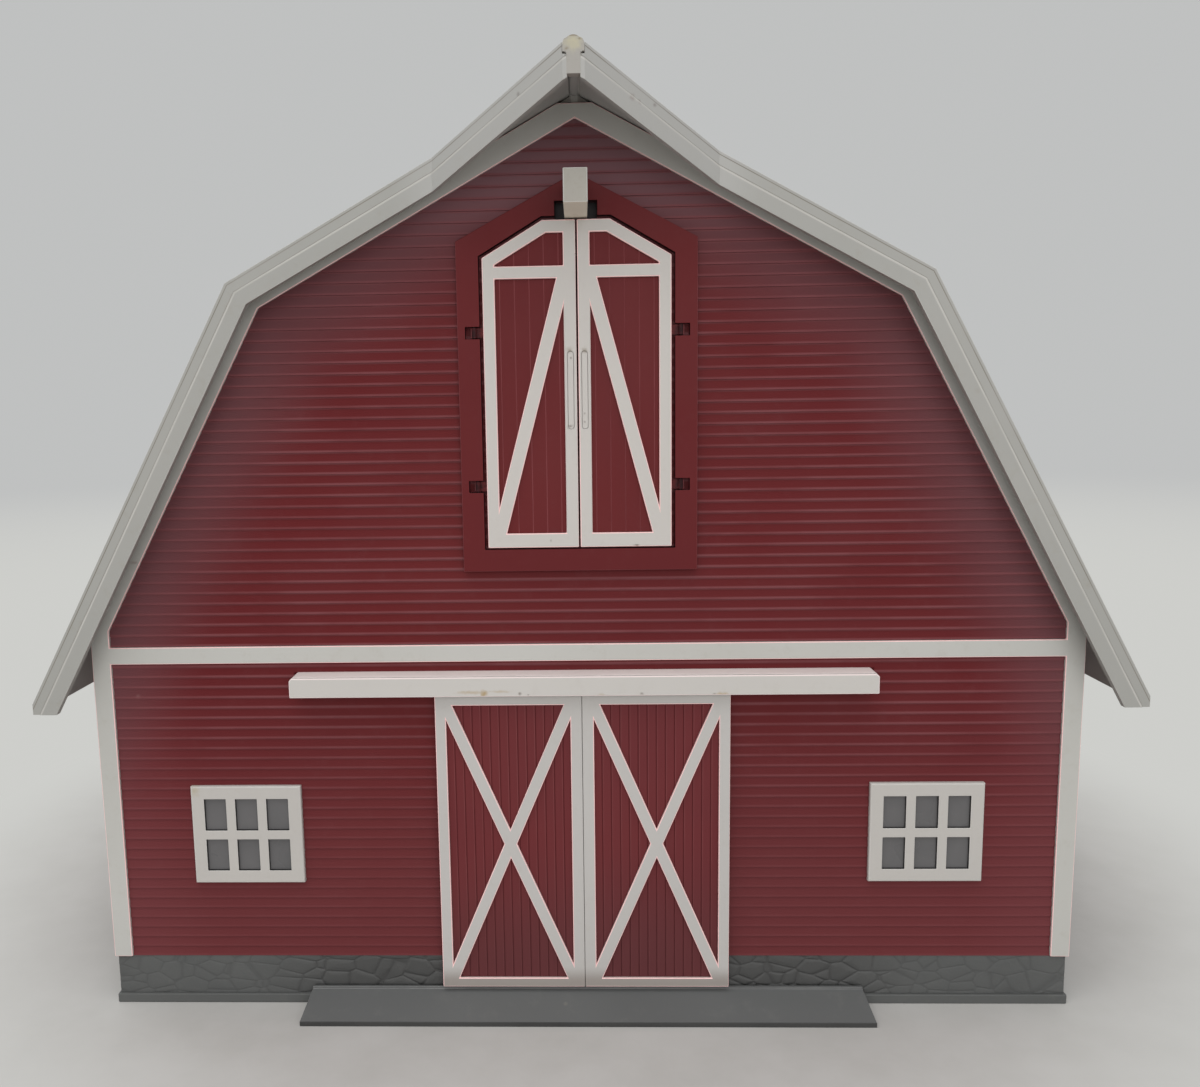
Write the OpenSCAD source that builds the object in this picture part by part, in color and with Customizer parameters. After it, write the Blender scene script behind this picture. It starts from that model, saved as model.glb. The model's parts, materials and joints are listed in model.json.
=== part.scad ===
// Toy barn with a gambrel roof, a pair of sliding barn doors and a pair of hinged loft doors.
// The gable front faces -Y, +Z is up, and the origin is on the ground under the middle of the barn.

/* [Walls] */
// Width of the barn over its corner boards
wall_w = 240; // [200:1:280]
// Length of the barn from one gable face to the other
wall_l = 230; // [180:1:300]
// Height of the side walls above the ground, at their outer corner
corner_z = 98.6; // [94:0.2:110]
// Thickness of a wall's sheet
wall_t = 2.2; // [1.6:0.1:3.2]
// Height of one siding board
lap_pitch = 2.6; // [2:0.05:5]
// How far a siding board's lower edge stands proud of the sheet
lap_d = 0.45; // [0.2:0.05:0.6]

/* [White boards] */
// Width of a corner board
post_w = 4.6; // [3:0.1:8]
// Width of the frieze board under the roof
frieze_w = 4.7; // [3:0.1:7]
// Height of the band's lower edge above the ground
band_z = 88.9; // [87.6:0.1:91]
// Height of the band across the gable
band_h = 4.2; // [2:0.1:5]
// Thickness of the corner, frieze and band boards
trim_t = 1.0; // [0.8:0.1:1.2]

/* [Gambrel roof] */
// Slope of the roof's upper part in degrees
upper_pitch = 28.65; // [24:0.05:34]
// Slope of the roof's lower part in degrees
lower_pitch = 61.76; // [56:0.05:66]
// Distance of the wall's bend from the outside of the wall
kink_in = 42.2; // [30:0.2:55]
// Thickness of the roof sheet
sheet_t = 1.6; // [1.2:0.1:2.4]
// Clearance between the closed roof and the walls
roof_gap = 0.25; // [0.2:0.05:0.4]
// How far the eaves reach out past the walls
eave_over = 11.4; // [8:0.2:16]
// Height of the eaves' level cut above the ground
eave_z = 78.7; // [72:0.1:80]
// How far the roof reaches past each gable
rake_over = 9; // [6:0.5:14]
// How far the hay hood's nose reaches past the front gable
hood_reach = 30.5; // [22:0.5:40]
// Distance from the middle to where the hay hood starts
hood_x = 31.6; // [26:0.2:40]
// Depth of the rake board, square to the slope
rake_d = 6.4; // [5:0.1:8]
// Thickness of the rake board
rake_t = 1.8; // [1.4:0.1:2.4]
// Distance between the roof's standing seams
seam_pitch = 8.2; // [6:0.1:14]
// Width of a standing seam
seam_w = 1.0; // [0.8:0.1:1.6]
// Height of a standing seam
seam_h = 0.5; // [0.3:0.1:0.8]

/* [Ridge hinge] */
// Outer radius of a hinge knuckle
knuckle_r = 1.3; // [1.2:0.05:1.4]
// Radius of the hinge rod
rod_r = 0.6; // [0.5:0.05:0.7]
// Depth of the hinge axis below the ridge line
axis_drop = 1.34; // [1.3:0.02:1.6]
// Number of knuckles between the gables
knuckles = 6; // [4:2:10]
// Half width of the gables' level apex
apex_x = 3.9; // [3.4:0.1:4.6]
// Half width of the block at the hood's nose
block_x = 1.9; // [1.6:0.1:2.2]
// Height of the block at the hood's nose
block_h = 3.1; // [2.8:0.1:3.6]
// Half width of the pendant at the hood's nose
pendant_x = 1.0; // [0.8:0.1:1.3]

/* [Foundation] */
// Height of the foundation, which is also the foot of the walls
sill_z = 12.6; // [10:0.2:16]
// Thickness of the foundation's rim
rim_t = 4; // [3:0.1:6]
// Thickness of the floor
floor_t = 2; // [1.6:0.1:3]
// Height of the foot flange
flange_z = 2.4; // [2:0.1:4]
// How far the stones' faces lie behind the white boards' faces
stone_in = 0.6; // [0.5:0.1:1]
// Relief of the stones
stone_d = 0.6; // [0.3:0.1:0.8]
// Average length of a stone
stone_l = 9.6; // [8:0.2:14]

/* [Ramp] */
// Half width of the ramp at its front edge
ramp_x = 70.3; // [60:0.1:72]
// How far the ramp's front edge lies ahead of the wall
ramp_reach = 11; // [8:0.5:20]
// Height of the ramp at its front edge
ramp_edge = 1.2; // [0.8:0.1:2]
// Height of the ramp's back edge
ramp_back = 4.5; // [3.6:0.1:4.7]
// Height of the lip along the ramp's back
ramp_lip = 5.0; // [4.8:0.1:5.3]

/* [Barn doors] */
// Half width of the doorway
way_x = 32.5; // [28:0.5:33]
// Height of the doorway's head above the ground
way_z = 79.4; // [70:0.2:80]
// Outer edge of a closed door leaf, from the middle
leaf_x = 35.7; // [34.5:0.1:36]
// Height of a door leaf's lower edge above the ground
leaf_z = 5.7; // [5.6:0.1:7]
// Height of the lower edge of the leaf's top rail
leaf_top = 78.5; // [66:0.1:79]
// Width of a door leaf's stiles
stile_w = 2.7; // [2:0.1:5]
// Height of a door leaf's bottom rail
rail_w = 2.4; // [2:0.1:5]
// Width of the crossed braces
brace_w = 2.9; // [2:0.1:4]
// Thickness of a door leaf's boarded panel
panel_t = 1.4; // [1.2:0.1:1.8]
// Thickness of the white boards on a door leaf
board_t = 0.8; // [0.5:0.1:1]
// Distance between the grooves of a door leaf's boards
groove_pitch = 2.2; // [1.8:0.1:4]
// Clearance between the siding's edges and the back of the door leaves
leaf_gap = 0.45; // [0.35:0.05:0.6]
// How far each door leaf slides
leaf_travel = 33.3; // [30:0.1:33.4]

/* [Door track] */
// Height of the track cover's lower edge above the ground
cover_z = 81.4; // [80.8:0.1:82]
// Height of the track cover
cover_h = 5.1; // [5:0.1:6]
// How far the track cover stands out from the wall
cover_d = 5.6; // [5.4:0.1:8]
// Thickness of the track cover's walls
cover_t = 1.0; // [0.8:0.1:1.1]
// Chamfer at the track cover's upper edges
cover_bevel = 0.3; // [0.2:0.1:0.8]

/* [Loft doors] */
// Outer edge of a closed loft door, from the middle
loft_x = 21.7; // [19:0.1:23]
// Height of the loft doors' lower edge
loft_z = 116.8; // [112:0.2:124]
// Height of the loft doors
loft_h = 75.2; // [64:0.2:75.6]
// Height of the loft doors' top above their outer corner
loft_drop = 8.2; // [6:0.1:12]
// Half width of the loft doors' level top
loft_flat_x = 7.7; // [6:0.1:10]
// Width of the loft doors' outer and meeting stiles
loft_stile = 2.87; // [2:0.1:4]
// Height of the loft doors' bottom rail
loft_rail = 3.4; // [2:0.1:5]
// Distance of the cross rail's upper edge below the loft doors' top
cross_in = 10.15; // [10:0.05:20]
// Height of the cross rail
cross_h = 2.85; // [2:0.1:4]
// Width of the loft doors' diagonal brace
loft_brace = 3.18; // [2:0.1:4]
// Distance between the grooves of a loft door's boards
loft_groove = 3.4; // [2.4:0.1:5]
// Height of the finger groove above the loft doors' lower edge
grip_z = 27.8; // [20:0.2:32]
// Length of the finger groove
grip_l = 17.9; // [8:0.1:24]
// Gap between the two loft doors
loft_split = 0.4; // [0.4:0.1:1]
// Gap between the loft doors and their surround
loft_gap = 0.8; // [0.6:0.1:1]
// Gap under the loft doors
loft_foot = 0.4; // [0.3:0.05:0.5]

/* [Loft surround] */
// Width of the surround's boards at the sides
surround_w = 5.2; // [5:0.1:7]
// Height of the surround's sill board
surround_sill = 4.85; // [3:0.1:7]
// Height of the surround's apex above the loft doors' top
surround_rise = 10.35; // [9.6:0.1:12]
// Height of the surround's shoulder above the loft doors' outer corner
surround_shoulder = 3.8; // [3:0.1:6]
// Thickness of the surround
surround_t = 2.0; // [1.8:0.1:2.4]
// Distance of the hinge axis from the loft doors' edge
hinge_out = 2.2; // [2.1:0.1:2.4]
// Radius of a loft door's hinge knuckle
loft_knuckle_r = 0.8; // [0.75:0.05:0.85]
// Radius of a loft hinge pin
loft_pin_r = 0.4; // [0.35:0.05:0.45]
// Height of the hinge slots in the surround
slot_h = 2.8; // [2.4:0.1:4]
// Height of the lower hinge above the loft doors' lower edge
hinge_low = 14.6; // [8:0.2:24]
// Height of the upper hinge above the loft doors' lower edge
hinge_high = 50.2; // [40:0.2:60]

/* [Hoist beam] */
// Width of the hoist beam
hoist_w = 5.2; // [4:0.1:6]
// Height of the hoist beam
hoist_h = 7.1; // [5:0.1:7.2]
// How far the hoist beam reaches out from the wall
hoist_reach = 18.9; // [12:0.1:24]

/* [Windows] */
// Width of a window frame
win_w = 27.6; // [20:0.1:30]
// Height of a window frame
win_h = 25.2; // [18:0.1:30]
// Height of the windows' lower edge above the ground
win_z = 32.6; // [20:0.2:45]
// Distance of a gable window's middle from the outside of the wall
win_in = 36.25; // [32:0.05:36.4]
// Width of a window's outer frame
win_border = 3.5; // [3:0.1:5]
// Width of the bars between the panes
muntin = 2.8; // [1.4:0.05:3]
// How far a window frame stands out from the wall
win_d = 1.5; // [1:0.1:2]
// Thickness of a window pane
pane_t = 0.8; // [0.5:0.1:1.2]

/* [Loft floor] */
// Depth of the loft floor behind the front gable
loft_l = 118; // [60:1:160]
// Thickness of the loft floor
loft_t = 2; // [1.6:0.1:3]

/* [Hidden] */
$fn = 32;

red = "firebrick";
white = "whitesmoke";
grey = "dimgray";
glass = "slategray";
slack = 0.05; // running clearance of a pin in its bore
fit = 0.02; // clearance of a fixed pin in its hole
play = 0.3; // clearance between parts that pass each other
far = 400; // longer than the barn, for cutters
proud = 3; // further out than a wall's siding, for cutters

lap_top = 0.08; // what a siding board's upper edge stands proud of the sheet

// Y of the front gable's face: the barn with its overhangs is centred on the origin
front_y = (hood_reach - wall_l - rake_over) / 2;
// Outer plane of the side walls' sheets
side_x = wall_w / 2 - trim_t;

// Foundation: half width inside the stones, and front plane of its rim
stone_face = wall_w / 2 - stone_in - stone_d;
rim_y = stone_in + stone_d - trim_t;
stone_joint = 0.45;
stone_edge = 0.25;
stone_shift = 0.28;
stone_wave = 0.24;

// Ramp: thickness of its lip, and how far its ends draw in towards the wall
ramp_lip_t = 0.8;
ramp_taper = 1.3;

// Gambrel outline of the wall, and lines at any distance d outside it
kink_x = wall_w / 2 - kink_in;
kink_z = corner_z + kink_in * tan(lower_pitch);
mid_pitch = (upper_pitch + lower_pitch) / 2;
half_bend = (lower_pitch - upper_pitch) / 2;
roof_off = sheet_t + roof_gap;
function kink(d) = [kink_x + d * sin(mid_pitch) / cos(half_bend), kink_z + d * cos(mid_pitch) / cos(half_bend)];
function apex_z(d) = kink_z + kink_x * tan(upper_pitch) + d / cos(upper_pitch);
function upper_at(d, x) = apex_z(d) - x * tan(upper_pitch);
function lower_at(d, x) = kink(d)[1] - (x - kink(d)[0]) * tan(lower_pitch);
function lower_x(d, z) = kink(d)[0] + (kink(d)[1] - z) / tan(lower_pitch);

// Ridge: the rod's axis, and the level apex of the gables that the saddles stand on
rod_z = apex_z(roof_off) - axis_drop;
apex_flat = apex_z(0) - apex_x * tan(upper_pitch);
saddle_x = 0.8;
eave_x = wall_w / 2 + eave_over;
side_top = lower_at(0, side_x - wall_t);

// Hood in plan: the nose is level, then the edge runs back to the rake
nose_x = block_x + play;
hood_tan = (hood_reach - rake_over) / (hood_x - nose_x);
hood_skew = 1 / cos(atan(hood_tan));
nose_l = 2;

// Ridge: the caps' closed ends and their block, whose round top is level with the knuckles, and
// the depths between which a knuckle's web lies in the roof sheet
rod_end = 0.6;
block_top = rod_z + knuckle_r;
block_foot = block_top - block_h;
web = [0.25, sheet_t - 0.1];
seam_end = [1.5, 0.6];

// Cuts along the rake boards' faces: between which depths below the roof's top, and how deep. The
// first sets the upper strip back and the second is a fine line in it.
rake_cuts = [[-1, 2.8, 0.3], [0.6, 0.8, 0.45]];

// Doors: planes of the leaves, counted forwards from the wall's sheet
leaf_back = lap_d + leaf_gap;
panel_front = leaf_back + panel_t;
leaf_front = panel_front + board_t;
cover_x = leaf_x + leaf_travel + play + cover_t;
cover_clip = 1.3;
ledge_t = 1.0;
ledge_z = cover_z + ledge_t;
lip_z = ledge_z + play;
lip_t = 0.9;
leaf_groove = [0.35, 0.2]; // width and depth

// Loft: planes and places
loft_top = loft_z + loft_h;
loft_corner = loft_top - loft_drop;
cross_z = loft_top - cross_in;
loft_back = 0.3;
loft_groove_cut = [0.25, 0.12]; // width and depth
loft_panel_front = surround_t - 0.6;
loft_front = surround_t + 0.2;
hinge_x = loft_x + hinge_out;
hinge_rise = [hinge_low, hinge_high];
hinge_y = -(loft_knuckle_r + play);
grip_r = 0.7;
grip_d = 0.4;
arm_lap = 0.6;
slot_x = 2.2;
slot_in = 0.2;
pin_end = 1.4;
hoist_z = loft_top + 0.4;
recess_x = hoist_w / 2 + 2.25;
hoist_top_gap = 3.7;
stop_w = 2.4;
loft_slope = (loft_top - loft_corner) / (loft_x - loft_flat_x);

// Windows: opening in the wall and sleeve of the frame
sleeve_x = (win_w - win_border) / 2;
sleeve_z = (win_h - win_border) / 2;
sleeve_t = 1.2;
pane_w = (win_w - 2 * win_border - 2 * muntin) / 3;
pane_h = (win_h - 2 * win_border - muntin) / 2;
bar_t = 0.8;
bevel = 0.25;
win_x = wall_w / 2 - win_in;
win_mid_z = win_z + win_h / 2;
side_windows = 3;
side_step = wall_l / (side_windows + 0.5);
function side_window_y(i) = wall_l / 2 + (i - (side_windows - 1) / 2) * side_step;

// Loft floor and the cleats that it rests on
cleat = 2;
beam_w = 2.4;
beam_h = 5;
floor_top = band_z + band_h / 2;
floor_under = floor_top - loft_t;

module in_barn() {
  translate([0, front_y, 0]) children();
}

// A drawing in the XZ plane made into a plate between two Y planes
module upright(y0, y1) {
  translate([0, y1, 0]) rotate([90, 0, 0]) linear_extrude(height = y1 - y0) children();
}

// A drawing in the YZ plane made into a plate between two X planes
module sideways(x0, x1) {
  translate([x0, 0, 0]) rotate([90, 0, 90]) linear_extrude(height = x1 - x0) children();
}

// A round bar along Y at the hinge's height
module along_ridge(r, y0, y1) {
  translate([0, y1, rod_z]) rotate([90, 0, 0]) cylinder(r = r, h = y1 - y0);
}

module box(x0, x1, y0, y1, z0, z1) {
  translate([x0, y0, z0]) cube([x1 - x0, y1 - y0, z1 - z0]);
}

// Gable outline whose corners are at half_w, with the level apex
module gable(half_w, foot) {
  polygon([
    [-half_w, foot], [half_w, foot], [half_w, lower_at(0, half_w)], [kink_x, kink_z],
    [apex_x, apex_flat], [-apex_x, apex_flat], [-kink_x, kink_z], [-half_w, lower_at(0, half_w)]
  ]);
}

// Red field between the corner boards, from the band up to the frieze
module upper_field() {
  x = wall_w / 2 - post_w;
  polygon([
    [-x, band_z + band_h], [x, band_z + band_h], [x, lower_at(-frieze_w, x)], kink(-frieze_w),
    [0, apex_z(-frieze_w)], [-kink(-frieze_w)[0], kink(-frieze_w)[1]], [-x, lower_at(-frieze_w, x)]
  ]);
}

// Red field between the corner boards, below the band
module lower_field() {
  translate([post_w - wall_w / 2, sill_z]) square([wall_w - 2 * post_w, band_z - sill_z]);
}

// Edge of a wall with its siding: depth forwards is negative, and the sheet is behind
module siding_edge(top) {
  n = ceil((top - sill_z) / lap_pitch);
  steps = [for (i = [0:n - 1]) each [
    [-lap_d, sill_z + i * lap_pitch], [-lap_top, sill_z + (i + 1) * lap_pitch]
  ]];
  polygon(concat(steps, [[wall_t, sill_z + n * lap_pitch], [wall_t, sill_z]]));
}

// Seat of a window frame in the siding, and its opening
module window_seat() {
  translate([-win_w / 2, win_z]) square([win_w, win_h]);
}
module window_hole() {
  translate([-sleeve_x - fit, win_mid_z - sleeve_z - fit]) square([2 * (sleeve_x + fit), 2 * (sleeve_z + fit)]);
}

// Gable wall, drawn as the front one
module gable_wall(doors) {
  difference() {
    intersection() {
      sideways(-side_x, side_x) siding_edge(apex_z(0));
      upright(-proud, wall_t) gable(side_x, sill_z);
    }
    difference() {
      upright(-proud, 0) gable(side_x + 1, sill_z - 1);
      upright(-proud - 1, 1) upper_field();
      upright(-proud - 1, 1) lower_field();
    }
    for (side = [-1, 1]) translate([side * win_x, 0, 0]) {
      upright(-proud, 0) window_seat();
      upright(-proud, wall_t + 1) window_hole();
    }
    if (doors) {
      box(-way_x, way_x, -proud, wall_t + 1, sill_z - 1, way_z);
      box(-cover_x, cover_x, -proud, 0, cover_z, cover_z + cover_h);
      upright(-proud, 0) surround_outline();
      upright(-proud, wall_t + 1) loft_opening();
      box(-hoist_w / 2 - fit, hoist_w / 2 + fit, -proud, wall_t + 1, hoist_z - fit, hoist_z + hoist_h + fit);
      box(-recess_x, recess_x, -proud, wall_t + 1, loft_top, hoist_z + hoist_top_gap);
    }
  }
  if (doors) box(-side_x + wall_t, side_x - wall_t, wall_t, wall_t + cleat, floor_under - cleat, floor_under);
}

// White boards of a gable: corner boards, frieze and band
module gable_boards() {
  difference() {
    upright(-trim_t, 0) gable(wall_w / 2, sill_z);
    upright(-trim_t - 1, 1) upper_field();
    upright(-trim_t - 1, 1) lower_field();
  }
}

// Turns a piece drawn for the front gable round to the back gable
module at_back() {
  translate([0, wall_l, 0]) rotate([0, 0, 180]) children();
}

// Right side wall between the gables, with its windows and the cleat of the loft floor
module side_wall() {
  difference() {
    intersection() {
      translate([side_x, 0, 0]) upright(wall_t, wall_l - wall_t) mirror([1, 0]) siding_edge(side_top);
      upright(0, wall_l) polygon([
        [side_x - wall_t, sill_z], [side_x + lap_d, sill_z], [side_x + lap_d, lower_at(0, side_x + lap_d)],
        [side_x - wall_t, lower_at(0, side_x - wall_t)]
      ]);
    }
    difference() {
      box(side_x, side_x + proud, -1, wall_l + 1, sill_z - 1, side_top + lap_pitch);
      box(side_x - 1, side_x + proud + 1, post_w, wall_l - post_w, sill_z - 2, corner_z - frieze_w);
    }
    for (i = [0:side_windows - 1]) translate([side_x, side_window_y(i), 0]) rotate([0, 0, 90]) {
      upright(-proud, 0) window_seat();
      upright(-proud, wall_t + 1) window_hole();
    }
  }
  box(side_x - wall_t - cleat, side_x - wall_t, wall_t + cleat + play, loft_l, floor_under - cleat, floor_under);
}

// White boards of the right side wall: corner boards and the board under the eaves
module side_boards() {
  difference() {
    box(side_x, wall_w / 2, 0, wall_l, sill_z, corner_z);
    box(side_x - 1, wall_w / 2 + 1, post_w, wall_l - post_w, sill_z - 1, corner_z - frieze_w);
  }
}

// Foundation: floor, rim with the doorway's gap, and foot flange
module foundation() {
  color(grey) in_barn() difference() {
    union() {
      box(-stone_face, stone_face, rim_y, wall_l - rim_y, 0, sill_z);
      box(-wall_w / 2, wall_w / 2, -trim_t, wall_l + trim_t, 0, flange_z);
    }
    box(rim_t - stone_face, stone_face - rim_t, rim_y + rim_t, wall_l - rim_y - rim_t, floor_t, sill_z + 1);
    box(-way_x, way_x, -far, rim_y + rim_t + 1, floor_t, sill_z + 1);
    box(-way_x, way_x, -far, rim_y + rim_t, -1, sill_z + 1);
  }
}

// A run of field stones, length l, between heights z0 and z1, in two courses that a wavy joint parts
module stone_run(l, z0, z1, seed) {
  n = max(2, round(l / stone_l));
  step = l / n;
  jitter = rands(-1, 1, 6 * n + 8, seed);
  low = z0 + stone_edge;
  high = z1 - stone_edge;
  mid = (z0 + z1) / 2;
  seam = [for (j = [0:2 * n]) [
    min(l - stone_edge, max(stone_edge, (j + (j == 0 || j == 2 * n ? 0 : stone_shift * jitter[j])) * step / 2)),
    mid + stone_wave * (z1 - z0) * jitter[2 * n + 1 + j]
  ]];
  for (i = [0:n - 1]) {
    a = seam[2 * i];
    b = seam[2 * i + 1];
    c = seam[2 * i + 2];
    stone([[a[0], low], [c[0], low], c, b, a]);
  }
  for (i = [0:n]) {
    b = seam[min(2 * n, 2 * i + 1)];
    a = seam[max(0, 2 * i - 1)];
    m = seam[2 * i];
    stone(i == 0 ? [m, b, [b[0], high], [m[0], high]]
      : i == n ? [a, m, [m[0], high], [a[0], high]]
      : [a, m, b, [b[0], high], [a[0], high]]);
  }
}

// One stone: its outline drawn in towards its middle, so that a joint is left round it
module stone(outline) {
  n = len(outline);
  middle = [for (k = [0, 1]) [for (p = outline) p[k]] * [for (p = outline) 1] / n];
  polygon([for (p = outline) p + stone_joint * (middle - p) / norm(middle - p)]);
}

// A run of stones on its backing, drawn for the front
module stone_side(l, seed) {
  upright(-stone_d, 0.01 - stone_d / 2) stone_run(l, flange_z, sill_z, seed);
  box(0, l, -stone_d / 2, 0, flange_z, sill_z);
}

module stone_facing() {
  front_l = stone_face + stone_d / 2 - way_x;
  side_l = wall_l - 2 * rim_y;
  full_l = 2 * stone_face + stone_d;
  color(grey) in_barn() {
    translate([-stone_face - stone_d / 2, rim_y, 0]) stone_side(front_l, 11);
    translate([way_x, rim_y, 0]) stone_side(front_l, 23);
    translate([stone_face + stone_d / 2, wall_l - rim_y, 0]) rotate([0, 0, 180]) stone_side(full_l, 37);
    translate([stone_face, rim_y, 0]) rotate([0, 0, 90]) stone_side(side_l, 41);
    translate([-stone_face, wall_l - rim_y, 0]) rotate([0, 0, -90]) stone_side(side_l, 59);
  }
}

// Ramp in front of the doors, with a lip along its back and a tongue through the doorway
module door_ramp() {
  back = trim_t + 0.1;
  color(grey) in_barn() {
    intersection() {
      sideways(-ramp_x, ramp_x) polygon([
        [-ramp_reach, 0], [-ramp_reach, ramp_edge], [-back - ramp_lip_t, ramp_back],
        [-back - ramp_lip_t, ramp_lip], [-back, ramp_lip], [-back, 0]
      ]);
      linear_extrude(height = sill_z) polygon([
        [-ramp_x, -ramp_reach], [ramp_x, -ramp_reach], [ramp_x - ramp_taper, 0], [ramp_taper - ramp_x, 0]
      ]);
    }
    box(-way_x + play, way_x - play, -back, rim_y + rim_t - play, 0, ramp_back);
  }
}

module front_wall() {
  color(red) in_barn() gable_wall(true);
}

module front_trim() {
  color(white) in_barn() gable_boards();
}

module back_wall() {
  color(red) in_barn() at_back() gable_wall(false);
}

module back_trim() {
  color(white) in_barn() at_back() gable_boards();
}

module right_side_wall() {
  color(red) in_barn() side_wall();
}

module left_side_wall() {
  color(red) in_barn() mirror([1, 0, 0]) side_wall();
}

module right_side_trim() {
  color(white) in_barn() side_boards();
}

module left_side_trim() {
  color(white) in_barn() mirror([1, 0, 0]) side_boards();
}

// Loft floor: a plate on the walls' cleats, with a beam under its free edge
module loft_floor() {
  x = side_x - wall_t - play / 2;
  color("burlywood") in_barn() {
    box(-x, x, wall_t, loft_l, floor_under, floor_top);
    box(-x + cleat + play, x - cleat - play, loft_l - beam_w, loft_l, floor_under - beam_h, floor_under);
  }
}

// Window frame, drawn for the front wall with its middle at x = 0
module window_frame() {
  difference() {
    union() {
      hull() {
        box(-win_w / 2, win_w / 2, -win_d + bevel, 0, win_z, win_z + win_h);
        box(-win_w / 2 + bevel, win_w / 2 - bevel, -win_d, 0, win_z + bevel, win_z + win_h - bevel);
      }
      box(-sleeve_x, sleeve_x, -0.1, wall_t, win_mid_z - sleeve_z, win_mid_z + sleeve_z);
    }
    box(-sleeve_x + sleeve_t, sleeve_x - sleeve_t, bar_t - win_d, wall_t + 1,
      win_mid_z - sleeve_z + sleeve_t, win_mid_z + sleeve_z - sleeve_t);
    for (i = [-1:1], j = [0, 1]) {
      x = i * (pane_w + muntin) - pane_w / 2;
      z = win_z + win_border + j * (pane_h + muntin);
      hull() {
        box(x, x + pane_w, bevel - win_d, bar_t, z, z + pane_h);
        box(x - bevel, x + pane_w + bevel, -win_d - 0.1, -win_d, z - bevel, z + pane_h + bevel);
      }
    }
  }
}

// Sheet of window glass, seated behind the bars inside the frame's sleeve
module window_panes() {
  box(fit + sleeve_t - sleeve_x, sleeve_x - sleeve_t - fit, bar_t - win_d, bar_t - win_d + pane_t,
    win_mid_z - sleeve_z + sleeve_t + fit, win_mid_z + sleeve_z - sleeve_t - fit);
}

module on_front(side) {
  in_barn() translate([side * win_x, 0, 0]) children();
}
module on_back(side) {
  in_barn() at_back() translate([-side * win_x, 0, 0]) children();
}
module on_side(side, i) {
  in_barn() translate([side * side_x, side_window_y(i - 1), 0]) rotate([0, 0, 90 * side]) children();
}

// Outline of the loft doors as a pair, grown by d
module loft_pair(d) {
  x = loft_x + d;
  grow = d * (sqrt(1 + loft_slope * loft_slope) - loft_slope);
  flat_x = loft_flat_x + d * (sqrt(1 + loft_slope * loft_slope) - 1) / loft_slope;
  polygon([
    [-x, loft_z - d], [x, loft_z - d], [x, loft_corner + grow], [flat_x, loft_top + d],
    [-flat_x, loft_top + d], [-x, loft_corner + grow]
  ]);
}

// Opening in the wall behind the loft doors, which leaves a stop round them
module loft_opening() {
  loft_pair(-stop_w);
}

module surround_outline() {
  x = loft_x + loft_gap + surround_w;
  shoulder = loft_corner + surround_shoulder;
  polygon([
    [-x, loft_z - loft_gap - surround_sill], [x, loft_z - loft_gap - surround_sill], [x, shoulder],
    [0, loft_top + surround_rise], [-x, shoulder]
  ]);
}

// A vertical round bar at a loft hinge
module loft_axle(side, r, z0, z1) {
  translate([side * hinge_x, hinge_y, z0]) cylinder(r = r, h = z1 - z0);
}

// Raised surround of the loft doors, with its hinge slots and the recess round the hoist beam
module loft_surround() {
  color(red) in_barn() difference() {
    upright(-surround_t, 0) surround_outline();
    upright(-surround_t - 1, 1) intersection() {
      loft_pair(loft_gap);
      translate([-far, loft_z - loft_foot]) square([2 * far, far]);
    }
    box(-recess_x, recess_x, -surround_t - 1, 1, loft_top, hoist_z + hoist_top_gap);
    box(-hoist_w / 2 - fit, hoist_w / 2 + fit, -surround_t - 1, 1, loft_top, hoist_z + hoist_h + fit);
    for (side = [-1, 1], rise = hinge_rise) {
      mid = loft_z + rise;
      translate([side * (hinge_x - slot_in), 0, 0])
        box(-slot_x, slot_x, -surround_t - 1, 1, mid - slot_h / 2, mid + slot_h / 2);
      loft_axle(side, loft_pin_r + fit, mid - slot_h / 2 - pin_end - fit, mid + slot_h / 2 + pin_end + fit);
    }
  }
}

// Four hinge pins, each held above and below its slot
module loft_hinge_pins() {
  color("silver") in_barn() for (side = [-1, 1], rise = hinge_rise) {
    mid = loft_z + rise;
    loft_axle(side, loft_pin_r, mid - slot_h / 2 - pin_end, mid + slot_h / 2 + pin_end);
  }
}

// Hoist beam over the loft doors, let into the wall
module hoist_beam() {
  color(white) in_barn() {
    box(-hoist_w / 2, hoist_w / 2, -hoist_reach, wall_t, hoist_z, hoist_z + hoist_h);
  }
}

// Cover and rail of the sliding doors: a channel that is open below
module door_track() {
  inner = cover_d - cover_t;
  color(white) in_barn() difference() {
    sideways(-cover_x, cover_x) polygon([
      [0, cover_z + cover_h], [cover_bevel - cover_d, cover_z + cover_h],
      [-cover_d, cover_z + cover_h - cover_bevel], [-cover_d, cover_z], [-leaf_front - play, cover_z],
      [-leaf_front - play, ledge_z], [-inner, ledge_z], [-inner, cover_z + cover_h - cover_t],
      [0, cover_z + cover_h - cover_t]
    ]);
    for (side = [-1, 1]) translate([side * cover_x, 0, cover_z + cover_h]) rotate([0, 45, 0])
      cube([cover_clip, far, cover_clip], center = true);
  }
  color(white) in_barn() for (side = [-1, 1])
    translate([side * (cover_x - cover_t / 2), 0, 0])
      box(-cover_t / 2, cover_t / 2, -inner, 0, cover_z, cover_z + cover_h - cover_t);
}

// A board from corner a to corner b
module diagonal(a, b, w) {
  run = (b - a) / norm(b - a);
  side = [-run[1], run[0]] * w / 2;
  polygon([a - w * run + side, a - w * run - side, b + w * run - side, b + w * run + side]);
}

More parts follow.
